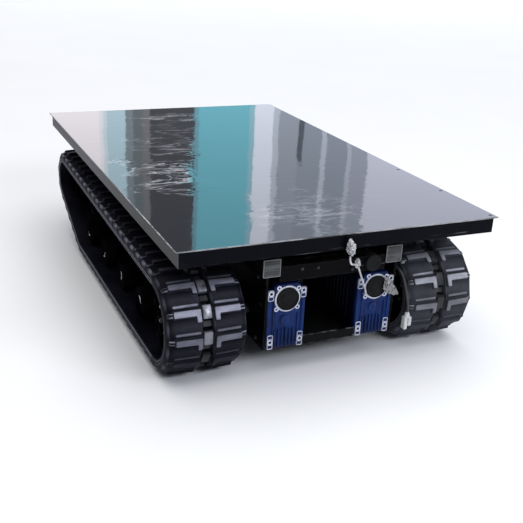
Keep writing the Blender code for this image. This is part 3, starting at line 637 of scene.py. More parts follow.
def smooth_route(points, spacing):
    """Points a spacing apart on a Catmull-Rom curve through the route."""
    ends = [2 * Vector(points[0]) - Vector(points[1]), 2 * Vector(points[-1]) - Vector(points[-2])]
    p = [ends[0], *map(Vector, points), ends[1]]
    fine = [Vector(points[0])]
    for n in range(1, len(p) - 2):
        for step in range(1, 21):
            t = step / 20
            fine.append(0.5 * (
                2 * p[n] + (p[n + 1] - p[n - 1]) * t
                + (2 * p[n - 1] - 5 * p[n] + 4 * p[n + 1] - p[n + 2]) * t * t
                + (3 * p[n] - p[n - 1] - 3 * p[n + 1] + p[n + 2]) * t ** 3
            ))
    total = sum((b - a).length for a, b in zip(fine, fine[1:]))
    count = max(3, round(total / spacing))
    kept, walked, due = [fine[0]], 0.0, total / count
    for a, b in zip(fine, fine[1:]):
        walked += (b - a).length
        if walked >= due - 1e-9 and len(kept) < count:
            kept.append(b)
            due += total / count
    kept.append(fine[-1])
    return kept


def lead_curve(name, route, radius, finish, node):
    points = smooth_route(route, radius * 1.5)
    curve = bpy.data.curves.new(name, "CURVE")
    curve.dimensions = "3D"
    curve.bevel_depth = radius
    curve.bevel_resolution = 3
    curve.use_fill_caps = True
    spline = curve.splines.new("POLY")
    spline.points.add(len(points) - 1)
    for point, place in zip(spline.points, points):
        point.co = (*place, 1.0)
    curve.materials.append(finish)
    made = bpy.data.objects.new(name, curve)
    bpy.context.scene.collection.objects.link(made)
    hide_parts(node)
    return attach(made, "chassis")


def crumpled(name, centre, size, seed, finish=FILM, node=None, depth=0.30, pull=()):
    """A crushed wad of film: a closed skin pushed in and out along ridges. Pull moves its ends."""
    random.seed(seed)
    shift = Vector([random.uniform(-50, 50) for _ in range(3)])

    def build(bm):
        bmesh.ops.create_icosphere(bm, subdivisions=4, radius=1.0)
        for v in bm.verts:
            d = v.co.normalized()
            ridge = 1 - abs(noise.noise(d * 2.2 + shift)) * 2.4
            fold = 1 - abs(noise.noise(d * 5.0 - shift)) * 2.2
            r = 1 - depth + depth * (0.6 * ridge + 0.4 * fold)
            v.co = Vector([centre[k] + d[k] * r * size[k] / 2 for k in range(3)])
            for lever, amount in pull:
                v.co += Vector(amount) * max(0.0, d.dot(Vector(lever))) ** 3
    return piece(name, build, finish, "chassis", (node,) if node else (), angle=18)


def cable_plug(bm, low, high):
    """A two-part plug: a ribbed shell with a collar where the lead enters, and two hanging lobes."""
    cx, cy = (low[0] + high[0]) / 2, (low[1] + high[1]) / 2
    half_x, half_y = (high[0] - low[0]) / 2, (high[1] - low[1]) / 2
    turned(bm, "Z", (cx, cy), [
        (high[2] - 0.014, half_x * 0.55), (high[2] - 0.012, half_x * 0.66), (high[2] - 0.004, half_x * 0.52),
        (high[2], half_x * 0.36),
    ], 20)
    for side in (-1, 1):
        x = cx + side * half_x * 0.48
        outline = rounded_box(
            (x - half_x * 0.42, cy - half_y * 0.7), (x + half_x * 0.42, cy + half_y * 0.7), 0.003
        )
        bottom = low[2] + (0.0 if side < 0 else 0.008)
        slab(bm, outline, "Z", bottom, high[2] - 0.011, 0.0022)
        rib_outline = offset(outline, 0.0006)
        for k in range(3):
            z = bottom + 0.006 + k * 0.006
            slab(bm, rib_outline, "Z", z, z + 0.0022, 0.0006)


def add_leads():
    signal = lead_curve(
        "signal_lead_flex", SIGNAL_LEAD_ROUTE, SIGNAL_LEAD_R, PALE, "signal_lead"
    )
    low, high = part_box("rim_connector")
    centre = (low + high) / 2
    size = (high - low) * 0.94
    wrap = crumpled(
        "rim_connector_film", centre, size, 3, node="rim_connector", depth=0.42,
        pull=(((0, 0, 1), (-0.005, 0.0, 0.0085)), ((0, 0, -1), (0.003, 0.0, -0.002))),
    )
    knot = crumpled("signal_lead_film", (0.047, -0.6230, 0.2690), (0.017, 0.013, 0.028), 8, depth=0.45)
    brake = lead_curve(
        "brake_lead_flex", BRAKE_LEAD_ROUTE, BRAKE_LEAD_R, CABLE, "brake_lead"
    )
    low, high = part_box("brake_lead_plug")
    plug = piece(
        "brake_lead_plug_shell", lambda bm: cable_plug(bm, low, high), PALE, "chassis",
        ("brake_lead_plug",),
    )


def area_light(name, place, towards, size, power, colour=(1.0, 1.0, 1.0)):
    data = bpy.data.lights.new(name, "AREA")
    data.shape = "RECTANGLE"
    data.size, data.size_y = size
    data.energy = power
    data.color = colour
    made = bpy.data.objects.new(name, data)
    back = (Vector(place) - Vector(towards)).normalized()
    made.rotation_euler = back.to_track_quat("Z", "Y").to_euler()
    made.location = place
    made.visible_camera = False
    bpy.context.scene.collection.objects.link(made)
    return made


# The deck mirrors what stands behind it, at 8 to 28 degrees above its plane. Each band is a soft light:
# from and to in degrees to the right of the camera's heading, its lowest and highest angle, and its radiance.
CARD_RANGE = 17.0
CARD_SPAN = (5.0, 34.0)
CARD_BANDS = (
    (-19.0, -11.50, CARD_SPAN, (2.00, 1.90, 2.00)),
    (-11.50, -11.25, CARD_SPAN, (1.75, 1.75, 1.88)),
    (-11.25, -11.00, CARD_SPAN, (1.30, 1.52, 1.68)),
    (-11.00, -9.75, CARD_SPAN, (0.92, 1.30, 1.48)),
    (-9.75, -9.25, CARD_SPAN, (0.34, 0.44, 0.48)),
    (-9.25, -8.60, CARD_SPAN, (0.20, 0.25, 0.27)),
    (-8.60, -8.10, CARD_SPAN, (0.30, 0.28, 0.30)),
    (-8.10, -5.10, (5.0, 21.5), (0.040, 0.040, 0.048)),
    (-9.00, -5.10, (24.0, 44.0), (1.30, 1.30, 1.38)),
    (-5.10, -4.80, CARD_SPAN, (0.26, 0.66, 0.82)),
    (-4.80, -1.30, CARD_SPAN, (0.27, 0.98, 1.20)),
    (-1.30, -0.95, CARD_SPAN, (0.52, 1.02, 1.22)),
    (-0.95, 0.35, CARD_SPAN, (1.55, 1.66, 1.92)),
    (0.35, 0.75, CARD_SPAN, (0.98, 1.08, 1.28)),
    (0.75, 2.10, CARD_SPAN, (0.60, 0.68, 0.82)),
    (2.10, 2.45, (5.0, 11.8), (0.52, 0.60, 0.74)),
    (2.10, 2.45, (11.8, 15.0), (0.11, 0.14, 0.18)),
    (2.10, 2.45, (15.0, 34.0), (0.52, 0.60, 0.74)),
    (2.45, 3.70, CARD_SPAN, (0.52, 0.60, 0.74)),
    (3.70, 4.05, CARD_SPAN, (0.95, 1.05, 1.22)),
    (4.05, 5.50, CARD_SPAN, (0.52, 0.60, 0.75)),
    (5.50, 5.80, CARD_SPAN, (0.90, 0.98, 1.16)),
    (5.80, 7.00, CARD_SPAN, (0.66, 0.73, 0.90)),
    (7.00, 22.0, CARD_SPAN, (1.34, 1.38, 1.66)),
)


def add_cards():
    eye = Vector((CAMERA_PLACE.x, CAMERA_PLACE.y, 2 * DECK_TOP - CAMERA_PLACE.z))
    for n, (start, stop, span, radiance) in enumerate(CARD_BANDS):
        low_z, high_z = (eye.z + CARD_RANGE * math.tan(math.radians(a)) for a in span)
        turn = CAMERA_HEADING + math.radians((start + stop) / 2)
        half = CARD_RANGE * math.tan(math.radians((stop - start) / 2))
        place = eye + heading_vector(turn) * CARD_RANGE
        place.z = (low_z + high_z) / 2
        size = (2 * half, high_z - low_z)
        strength = max(radiance)
        power = math.pi * size[0] * size[1] * strength
        towards = place - heading_vector(turn)
        area_light(f"card_{n:02d}", place, towards, size, power, [c / strength for c in radiance])


def add_studio():
    bm = bmesh.new()
    bmesh.ops.create_grid(bm, x_segments=24, y_segments=24, size=40.0)
    mesh = bpy.data.meshes.new("studio_floor")
    bm.to_mesh(mesh)
    bm.free()
    mesh.materials.append(floor_finish())
    floor = bpy.data.objects.new("studio_floor", mesh)
    bpy.context.scene.collection.objects.link(floor)
    sun = bpy.data.lights.new("overhead_sky", "SUN")
    sun.energy = 2.5
    sun.angle = math.radians(80)
    lamp = bpy.data.objects.new("overhead_sky", sun)
    bpy.context.scene.collection.objects.link(lamp)
    area_light("front_box", (1.30, -4.00, 2.70), (-0.10, -0.60, 0.20), (3.2, 0.9), 105, (0.86, 0.90, 1.0))
    world = bpy.data.worlds.new("studio_world")
    world.use_nodes = True
    world.node_tree.nodes["Background"].inputs["Color"].default_value = (0.30, 0.32, 0.36, 1.0)
    world.node_tree.nodes["Background"].inputs["Strength"].default_value = 0.42
    bpy.context.scene.world = world
    bpy.context.scene.view_settings.view_transform = "Standard"


# ---------------------------------------------------------------- deck

def deck_skin(bm):
    """The deck plate as one sheet with long shallow dents, thick down to the CAD plate's underside."""
    nx, ny = 100, 160
    rise = 0.00035
    edge = 0.0012
    xs = [DECK_LOW.x + edge + (DECK_HIGH.x - DECK_LOW.x - 2 * edge) * k / nx for k in range(nx + 1)]
    ys = [DECK_LOW.y + edge + (DECK_HIGH.y - DECK_LOW.y - 2 * edge) * k / ny for k in range(ny + 1)]

    def height(x, y):
        broad = noise.noise(Vector((x * 3.0, y * 2.2, 4.0)))
        near = noise.noise(Vector((x * 9.0, y * 6.0, 9.0)))
        rim = min(DECK_HIGH.x - abs(x), DECK_HIGH.y - abs(y)) / 0.04
        return DECK_TOP - rise + rise * max(-1.0, min(0.98, (broad + 0.35 * near) * min(1.0, rim)))

    top = [[bm.verts.new((x, y, height(x, y))) for y in ys] for x in xs]
    for a, b in zip(top, top[1:]):
        for k in range(ny):
            bm.faces.new((a[k], b[k], b[k + 1], a[k + 1]))
    border = [row[0] for row in top] + top[-1][1:] + [row[-1] for row in reversed(top[:-1])]
    border += list(reversed(top[0][1:-1]))
    last = border
    for inset, z in ((0.35, -0.00035), (0.0, -0.0012), (0.0, -0.0024), (0.3, -0.0030)):
        fresh = []
        for v in border:
            x, y = (
                math.copysign(reach - inset * edge, at) if abs(at) > reach - 2 * edge else at
                for at, reach in ((v.co.x, DECK_HIGH.x), (v.co.y, DECK_HIGH.y))
            )
            fresh.append(bm.verts.new((x, y, DECK_TOP + z)))
        for n in range(len(border)):
            m = (n + 1) % len(border)
            face = bm.faces.new((last[n], last[m], fresh[m], fresh[n]))
            face.material_index = 1
        last = fresh
    bm.faces.new(last).material_index = 1


def deck_screws(bm):
    """Flush black screws along the deck's right edge, near the front."""
    radius = 0.0042
    top = DECK_TOP - 0.00005
    for n in range(3):
        spot = (DECK_HIGH.x - 0.012, DECK_LOW.y + 0.016 + 0.203 * n)
        turned(bm, "Z", spot, [
            (DECK_TOP - 0.0020, radius), (top - 0.0003, radius), (top, radius - 0.0004),
            (top, 0.0022), (top - 0.0008, 0.0016),
        ], 20)


def make_deck():
    piece("deck_skin", deck_skin, [GLOSS, LIP], "chassis", ("deck_plate",), angle=50)
    piece("deck_screws", deck_screws, CAP_BLACK, "chassis", ())


# ---------------------------------------------------------------- belts

def outer_tangent(first, second):
    """The line that both circles touch on their outer side, for a path that turns left."""
    (y1, z1, r1), (y2, z2, r2) = first, second
    dy, dz = y2 - y1, z2 - z1
    heading = math.atan2(dz, dy) + math.asin((r1 - r2) / math.hypot(dy, dz)) - math.pi / 2
    out = Vector((math.cos(heading), math.sin(heading)))
    return Vector((y1, z1)) + out * r1, Vector((y2, z2)) + out * r2


class BeltPath:
    """The belt's pitch line: a closed path that starts over the sprocket and runs forward and down."""

    def __init__(self):
        bend_z = LUG_TOP + BEND_R
        circles = [
            (AXLE.y, AXLE.z, PITCH_R), (ROAD_WHEEL_Y[0], bend_z, BEND_R),
            (ROAD_WHEEL_Y[-1], bend_z, BEND_R), (IDLER.y, IDLER.z, IDLER_PITCH_R),
        ]
        self.runs = []
        self.length = 0.0
        lines = [outer_tangent(circles[n], circles[(n + 1) % 4]) for n in range(4)]
        for n, (y, z, r) in enumerate(circles):
            entry, leave = lines[n - 1][1], lines[n][0]
            start = math.atan2(entry[1] - z, entry[0] - y)
            sweep = (math.atan2(leave[1] - z, leave[0] - y) - start) % (2 * math.pi)
            self.add(r * sweep, "arc", (y, z, r, start))
            span = (lines[n][1] - leave).length
            self.add(span, "line", (leave, (lines[n][1] - leave) / span))

    def add(self, span, kind, data):
        self.runs.append((self.length, span, kind, data))
        self.length += span

    def at(self, distance, out):
        """(y, z) at a distance along the path, moved outward."""
        distance = distance * self.length / (LINKS * LINK_PITCH) % self.length
        for begin, span, kind, data in self.runs:
            if distance <= begin + span + 1e-9:
                along = distance - begin
                if kind == "line":
                    point, way = data
                    return (
                        point[0] + way[0] * along + way[1] * out,
                        point[1] + way[1] * along - way[0] * out,
                    )
                y, z, r, start = data
                a = start + along / r
                return (y + (r + out) * math.cos(a), z + (r + out) * math.sin(a))
        raise ValueError("the distance is past the end of the belt")


PATH = BeltPath()
WINDOW_HALF_W = 0.0125
BELT_HALF_W = 0.095
CROWN = 0.0085  # how far the outer surface falls at its sides
CROWN_FROM = 0.056
# How worn the belt looks along its loop: distance from the top of the sprocket, share. The photograph's
# light catches the wrap at the front, and this wear stands in for that light too.
WEAR_AND_HIGHLIGHT_ALONG = (
    (0.0, 0.12), (0.045, 0.36), (0.070, 0.90), (0.105, 1.0), (0.135, 0.44), (0.165, 0.44), (0.190, 0.06),
    (0.340, 0.02), (2.200, 0.04), (LINKS * LINK_PITCH, 0.12),
)
SIDE_FROM = 0.0890  # beyond this place across, the belt's sides take one share of rubbing and painted highlight along its runs
SIDE_WEAR_AND_HIGHLIGHT = 0.26
SIDE_WEAR_AND_HIGHLIGHT_WRAP = 0.08  # the same where the belt wraps round the sprocket
WRAP_L = 0.30
# one half of the belt's section, from the window out to the shoulder: place across, height out from the pitch
# line, how far the shoulder dips between two lugs, rubbing and painted highlight. The high values at the
# shoulder's edge paint pale highlight arcs between the lugs.
SECTION_OUT = (
    (WINDOW_HALF_W, 0.0170, 0.0, 0.2), (0.0145, 0.0225, 0.0, 0.25), (0.0175, 0.0242, 0.0, 0.12),
    (0.0520, 0.0246, 0.0, 0.10), (0.0760, 0.0248, 0.0, 0.10), (0.0830, 0.0250, 0.0006, 0.06),
    (0.0880, 0.0244, 0.0016, 0.04), (0.0905, 0.0232, 0.0022, 2.60), (0.0928, 0.0206, 0.0026, 2.20),
    (0.0950, 0.0150, 0.0026, 0.03),
)
# the side and the inner face, back to the window: place across, height, rubbing and painted highlight. The
# high values paint pale highlight lines along the side's ridges.
SECTION_IN = (
    (0.0950, 0.0068, 0.03), (0.0942, 0.0056, 1.90), (0.0950, 0.0040, 1.90), (0.0950, 0.0022, 0.03),
    (0.0941, -0.0014, 0.0), (0.0950, -0.0030, 1.90), (0.0945, -0.0046, 1.90), (0.0925, -0.0074, 0.03),
    (0.0880, -0.0085, 0.02),
    (0.0520, -0.0085, 0.03), (0.0240, -0.0085, 0.05), (WINDOW_HALF_W, -0.0085, 0.05),
)
STATIONS_PER_LINK = 12
WINDOW_STATIONS = 5  # of the spaces between stations, how many lie in the window


def wear_and_highlight_share(along):
    """How worn the belt looks at a distance along its loop, with its painted highlight where it wraps at the
    front.
    """
    along %= LINKS * LINK_PITCH
    for (start, low), (stop, high) in zip(WEAR_AND_HIGHLIGHT_ALONG, WEAR_AND_HIGHLIGHT_ALONG[1:]):
        if along <= stop:
            return low + (high - low) * (along - start) / (stop - start)
    return WEAR_AND_HIGHLIGHT_ALONG[-1][1]


class BeltMesh:
    """Faces of one belt, with a value of rubbing and painted highlight on each point."""

    def __init__(self, bm, side):
        self.bm = bm
        self.x = side * TRACK_X
        self.wear_and_highlight = bm.verts.layers.float.new("wear_and_highlight")

    def point(self, along, across, out, wear_and_highlight):
        """A point of the belt, whose outer surface falls away towards both sides."""
        along += LUG_PHASE * LINK_PITCH
        fall = CROWN * max(0.0, (abs(across) - CROWN_FROM) / (BELT_HALF_W - CROWN_FROM)) ** 2
        y, z = PATH.at(along, out - fall * max(0.0, out) / LUG_TOP)
        v = self.bm.verts.new((self.x + across, y, z))
        # the share of rubbing and painted highlight at this place along the loop
        share = wear_and_highlight_share(along)
        if abs(across) > SIDE_FROM:
            share = SIDE_WEAR_AND_HIGHLIGHT if along % (LINKS * LINK_PITCH) > WRAP_L else SIDE_WEAR_AND_HIGHLIGHT_WRAP
        v[self.wear_and_highlight] = min(1.0, wear_and_highlight * share)
        return v

    def skin(self, rings, slot=0):
        """A skin over rings of (along, across, out, wear), closed at its last ring only."""
        loops = [[self.point(*p) for p in ring] for ring in rings]
        for a, b in zip(loops, loops[1:]):
            for n in range(len(a)):
                m = (n + 1) % len(a)
                self.bm.faces.new((a[n], a[m], b[m], b[n])).material_index = slot
        for end in (loops[0], loops[-1]):
            self.bm.faces.new(end).material_index = slot

    def section(self, along, phase):
        """The points round the belt's section at one station. Phase runs from 0 to 1 over a link."""
        dip = (0.5 + 0.5 * math.cos(2 * math.pi * phase)) ** 0.7
        cloud = 0.05 * noise.noise(Vector((along * 9, self.x, 2.0)))
        # the shoulder's rubbing and painted highlight are strongest between two lugs, where they paint pale
        # highlight arcs
        half = [
            (w - 0.5 * drop * dip, out - drop * dip, wear_and_highlight * (0.05 + 0.95 * dip ** 2.5) + cloud)
            for w, out, drop, wear_and_highlight in SECTION_OUT
        ]
        half += list(SECTION_IN)
        points = [self.point(along, w, out, wear_and_highlight) for w, out, wear_and_highlight in half]
        return points + [self.point(along, -w, out, wear_and_highlight) for w, out, wear_and_highlight in reversed(half)]

    def carcass(self):
        """The band, with a drive window in each link and a scalloped shoulder between the lugs."""
        gap = STATIONS_PER_LINK - WINDOW_STATIONS
        shifts = [WINDOW_L * (k / WINDOW_STATIONS - 0.5) for k in range(WINDOW_STATIONS)]
        solid = LINK_PITCH - WINDOW_L
        shifts += [WINDOW_L / 2 + solid * k / gap for k in range(gap)]
        rows = [
            (self.section(link * LINK_PITCH + shift, shift / LINK_PITCH), k < WINDOW_STATIONS)
            for link in range(LINKS) for k, shift in enumerate(shifts)
        ]
        count = len(rows[0][0])
        inner = count // 2 - 1
        for n, (row, window) in enumerate(rows):
            following = rows[(n + 1) % len(rows)][0]
            for c in range(count):
                d = (c + 1) % count
                if window and c in (inner, count - 1):
                    continue
                self.bm.faces.new((row[c], row[d], following[d], following[c]))
            if window:
                self.bm.faces.new((row[inner], following[inner], following[0], row[0]))
                self.bm.faces.new((row[inner + 1], row[-1], following[-1], following[inner + 1]))
        for link in range(LINKS):
            for k in (0, WINDOW_STATIONS):
                row = rows[link * STATIONS_PER_LINK + k][0]
                self.bm.faces.new((row[0], row[inner], row[inner + 1], row[-1]))

    def bar(self, along, outline, side, levels, jitter):
        """A moulded bar. Each level is (height, how far out from the outline, rubbing and painted highlight).
        """
        rings = []
        for out, grow, wear_and_highlight in levels:
            ring = [
                (along + s + jitter[0], side * (w + jitter[1]), out, wear_and_highlight) for s, w in offset(outline, grow)
            ]
            rings.append(ring)
        self.skin(rings)

    def lugs(self):
        """On each half of each link, a bar with a hook at its inner end, and a low ridge behind it."""
        mm = 0.001
        hook = [(-5.5, 16), (16.5, 16), (16.5, 26.5), (5.5, 26.5), (5.5, 77), (-5.5, 77)]
        ridge = [(-16, 19), (-12, 19), (-12, 76), (-16, 76)]
        toe = [(-4.5, 72), (4.5, 72), (4.5, 91), (-4.5, 91)]
        hook, ridge, toe = (
            chamfered([(s * mm, w * mm) for s, w in shape], 1.6 * mm) for shape in (hook, ridge, toe)
        )
        # the last number of each level is rubbing and painted highlight: the bars' tops and the toes' edges
        # are pale with both
        hook_levels = (
            (0.0232, 0.0034, 0.15), (0.0252, 0.0017, 0.08), (0.0270, 0.0010, 0.04), (0.0302, 0.0003, 0.10),
            (0.0315, -0.0002, 0.70), (0.0323, -0.0010, 1.0), (0.0325, -0.0018, 1.0),
        )
        ridge_levels = (
            (0.0236, 0.0024, 0.12), (0.0250, 0.0008, 0.10), (0.0266, -0.0002, 0.70), (0.0272, -0.0012, 0.95),
        )
        toe_levels = (
            (0.0150, 0.0012, 0.05), (0.0220, 0.0004, 0.10), (0.0256, -0.0006, 1.50),
            (0.0266, -0.0016, 1.00), (0.0270, -0.0032, 0.05),
        )
        for link in range(LINKS):
            along = (link + 0.5) * LINK_PITCH
            for side in (-1, 1):
                jitter = [random.uniform(-0.0005, 0.0005) for _ in range(2)]
                self.bar(along, hook, side, hook_levels, jitter)
                self.bar(along, ridge, side, ridge_levels, jitter)
                self.bar(along, toe, side, toe_levels, jitter)

    def horns(self):
        """Two guide horns on the inside of each bar, which run between the wheels' discs."""
        for link in range(LINKS):
            along = (link + 0.5) * LINK_PITCH
            for side in (-1, 1):
                rings = []
                for out, half_l, low, high in (
                    (-0.0075, 0.0125, 0.0135, 0.0220), (-0.0120, 0.0105, 0.0145, 0.0212),
                    (-0.0200, 0.0075, 0.0155, 0.0202), (-0.0214, 0.0060, 0.0163, 0.0194),
                ):
                    corners = chamfered(rectangle((-half_l, low), (half_l, high)), 0.0012)
                    rings.append([(along + s, side * w, out, 0.5) for s, w in corners])
                self.skin(rings)

    def cores(self):
        """The steel bridge that shows between two windows, rubbed bright by the sprocket's teeth, and on the
        left belt brightest as a painted highlight where the loop wraps at the front.
        """
        for link in range(LINKS):
            along = (link + 0.5) * LINK_PITCH
            rings = []
            for out, half_l, half_w in (
                (-0.0060, 0.0130, 0.0112), (0.0200, 0.0130, 0.0108),
                (0.0232, 0.0122, 0.0102), (0.0240, 0.0108, 0.0090),
            ):
                corners = chamfered(rectangle((-half_l, -half_w), (half_l, half_w)), 0.0020)
                rings.append([(along + s, w, out, 1.0) for s, w in corners])
            self.skin(rings)


def make_belts():
    for side_name, side in SIDES:
        random.seed(20 + side)

        def rubber(bm):
            belt = BeltMesh(bm, side)
            belt.carcass()
            belt.lugs()
            belt.horns()

        belt = piece(
            f"belt_rubber_{side_name}", rubber, RUBBER[side_name], None, (f"track_belt_{side_name}",),
            angle=38,
        )
        cores = piece(
            f"belt_cores_{side_name}", lambda bm: BeltMesh(bm, side).cores(), CORE[side_name], None, (),
            angle=38,
        )
        for part in (belt, cores):
            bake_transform(part)


# ---------------------------------------------------------------- wheels

def disc_pair(bm, x, y, z, radius, hub, inner, outer, tyre, sides):
    """A wheel of two tyred discs on a hub, dished on the outside, with a domed hub cap."""
    turned(bm, "X", (y, z), [(x - inner - 0.002, hub), (x + inner + 0.002, hub)], 24, 1)
    for side in (-1, 1):
        def at(d):
            return x + side * d
        rim = radius - tyre
        turned(bm, "X", (y, z), [
            (at(inner), rim - 0.002), (at(inner), radius - 0.0022), (at(inner + 0.0008), radius - 0.0007),
            (at(inner + 0.0025), radius), (at(outer - 0.0025), radius), (at(outer - 0.0008), radius - 0.0007),
            (at(outer), radius - 0.0022), (at(outer), rim - 0.002),
        ], sides, 0)
        dish = min(0.008, (outer - inner) * 0.3)
        turned(bm, "X", (y, z), [
            (at(inner + 0.001), hub), (at(inner + 0.001), rim), (at(outer - 0.001), rim),
            (at(outer - 0.0015), rim - 0.003),
            (at(outer - dish), rim - 0.006), (at(outer - dish), hub * 1.25),
            (at(outer - dish + 0.004), hub * 1.15),
            (at(outer - 0.002), hub * 1.05), (at(outer - 0.001), hub * 0.85), (at(outer - 0.0005), hub * 0.3),
        ], sides, 1)


def glint_arc(bm, centre, side, start):
    """A raised curl round part of a hub's cap, thickest in its middle, pale as a painted glint."""
    steps = 12
    sweep = 1.9
    depth = 0.0022
    outline = []
    for sign in (1, -1):
        for k in range(steps + 1)[::sign]:
            a = start + sweep * k / steps
            r = 0.0118 + sign * 0.0017 * math.sin(math.pi * (k + 0.5) / (steps + 1))
            outline.append((centre.y + r * math.cos(a), centre.z + 1.25 * r * math.sin(a)))
    face = centre.x + side * 0.0605
    slab(bm, outline, "X", *sorted((face, face + side * depth)), 0.0003, 3)


def make_wheels():
    for side_name, side in SIDES:
        for n in (1, 2, 3, 4):
            centre = middle(f"road_wheel_{side_name}_{n}")

            def wheel(bm):
                disc_pair(bm, centre.x, centre.y, centre.z, 0.0390, 0.0130, 0.030, 0.062, 0.009, 40)
                for k in range(5):
                    a = 2 * math.pi * k / 5
                    for out in (-1, 1):
                        spot = (centre.y + 0.0205 * math.cos(a), centre.z + 0.0205 * math.sin(a))
                        bolt(bm, "X", spot, centre.x + out * 0.0540, out, 0.0026, 2)
                glint_arc(bm, centre, side, 0.4 + 0.9 * n)
            piece(
                f"road_wheel_tyred_{side_name}_{n}", wheel, [TYRE, DARK_STEEL, DULL_ZINC, HUB_GLINT],
                f"wheel_{side_name}_{n}", (f"road_wheel_{side_name}_{n}",),
            )
        centre = middle(f"carrier_roller_{side_name}")

        def carrier(bm):
            disc_pair(bm, centre.x, centre.y, centre.z, 0.0220, 0.0080, 0.024, 0.050, 0.005, 32)
            for out in (-1, 1):
                bolt(bm, "X", (centre.y, centre.z), centre.x + out * 0.0470, out, 0.0040, 2)
        piece(
            f"carrier_tyred_{side_name}", carrier, [TYRE, DARK_STEEL, ZINC], f"carrier_{side_name}",
            (f"carrier_roller_{side_name}",),
        )
        hub = middle(f"idler_{side_name}")

        def idler(bm):
            disc_pair(bm, hub.x, hub.y, hub.z, 0.0500, 0.0150, 0.030, 0.062, 0.006, 48)
            for k in range(6):
                a = 2 * math.pi * k / 6
                for out in (-1, 1):
                    spot = (hub.y + 0.028 * math.cos(a), hub.z + 0.028 * math.sin(a))
                    bolt(bm, "X", spot, hub.x + out * 0.0540, out, 0.0032, 2)
        piece(
            f"idler_dished_{side_name}", idler, [DARK_STEEL, DARK_STEEL, ZINC], f"idler_wheel_{side_name}",
            (f"idler_{side_name}",),
        )


def sprocket_outline(tip, root):
    """Twelve rounded teeth, with a gap between two of them at the top."""
    outline = []
    for n in range(SPROCKET_TEETH):
        up = math.pi / 2 + 2 * math.pi * (n + LUG_PHASE) / SPROCKET_TEETH
        for half_w, r in (
            (-0.0125, root), (-0.0098, root + 0.003), (-0.0080, tip - 0.004), (-0.0058, tip - 0.0008),
            (0.0058, tip - 0.0008), (0.0080, tip - 0.004), (0.0098, root + 0.003), (0.0125, root),
        ):
            a = up + half_w / r
            outline.append((r * math.cos(a), r * math.sin(a)))
    return outline


def make_sprockets():
    """Two carrying discs with raised rings and a circle of bolts, and a toothed ring between them."""
    for side_name, _ in SIDES:
        centre = middle(f"drive_sprocket_{side_name}")
        x, y, z = centre

        def sprocket(bm):
            turned(bm, "X", (y, z), [(x - 0.045, 0.034), (x + 0.045, 0.034)], 32, 1)
            for out in (-1, 1):
                def at(d):
                    return x + out * d
                turned(bm, "X", (y, z), [
                    (at(0.044), 0.030), (at(0.044), 0.0840), (at(0.0455), 0.0855), (at(0.0625), 0.0855),
                    (at(0.0640), 0.0840), (at(0.0640), 0.0780), (at(0.0590), 0.0750), (at(0.0585), 0.0470),
                    (at(0.0610), 0.0440), (at(0.0615), 0.0300), (at(0.0600), 0.0270), (at(0.0600), 0.0130),
                ], 64, 1)
                for k in range(6):
                    a = 2 * math.pi * (k + 0.5) / 6
                    spot = (y + 0.036 * math.cos(a), z + 0.036 * math.sin(a))
                    bolt(bm, "X", spot, at(0.0610), out, 0.0045, 2)
                    spot = (y + 0.060 * math.cos(a), z + 0.060 * math.sin(a))
                    ring(bm, "X", spot, 0.0115, 0.0085, at(0.0580), at(0.0612), 0.001 * out, 24, 1)
            teeth = [(y + u, z + v) for u, v in sprocket_outline(0.1100, 0.0800)]
            slab(bm, teeth, "X", x - 0.0100, x + 0.0100, 0.0012, 0)
        piece(
            f"sprocket_toothed_{side_name}", sprocket, [DULL_ZINC, DARK_STEEL, ZINC], f"drive_{side_name}",
            (f"drive_sprocket_{side_name}",),
        )


def make_frame_details():
    """Weld beads where the track frames meet the hull's side plates."""
    levels = ((0.0, 0.0004), (0.001, 0.0008), (0.0022, -0.0004), (0.0035, -0.0022))
    for side_name, side in SIDES:
        plate_x = side * HULL_PLATE_X

        def welds(bm):
            for y in (-0.190, 0.170):
                outline = rounded_box((y - 0.0175, 0.1175), (y + 0.0175, 0.1525), 0.004)
                wavy = [
                    (u + 0.0007 * math.sin(40 * k), v + 0.0007 * math.cos(31 * k))
                    for k, (u, v) in enumerate(outline)
                ]
                loft(bm, [
                    [placed("X", u, v, plate_x + side * out) for u, v in offset(wavy, grow)]
                    for out, grow in levels
                ])
        piece(f"frame_welds_{side_name}", welds, PAINT, "chassis", ())


# ---------------------------------------------------------------- gearboxes

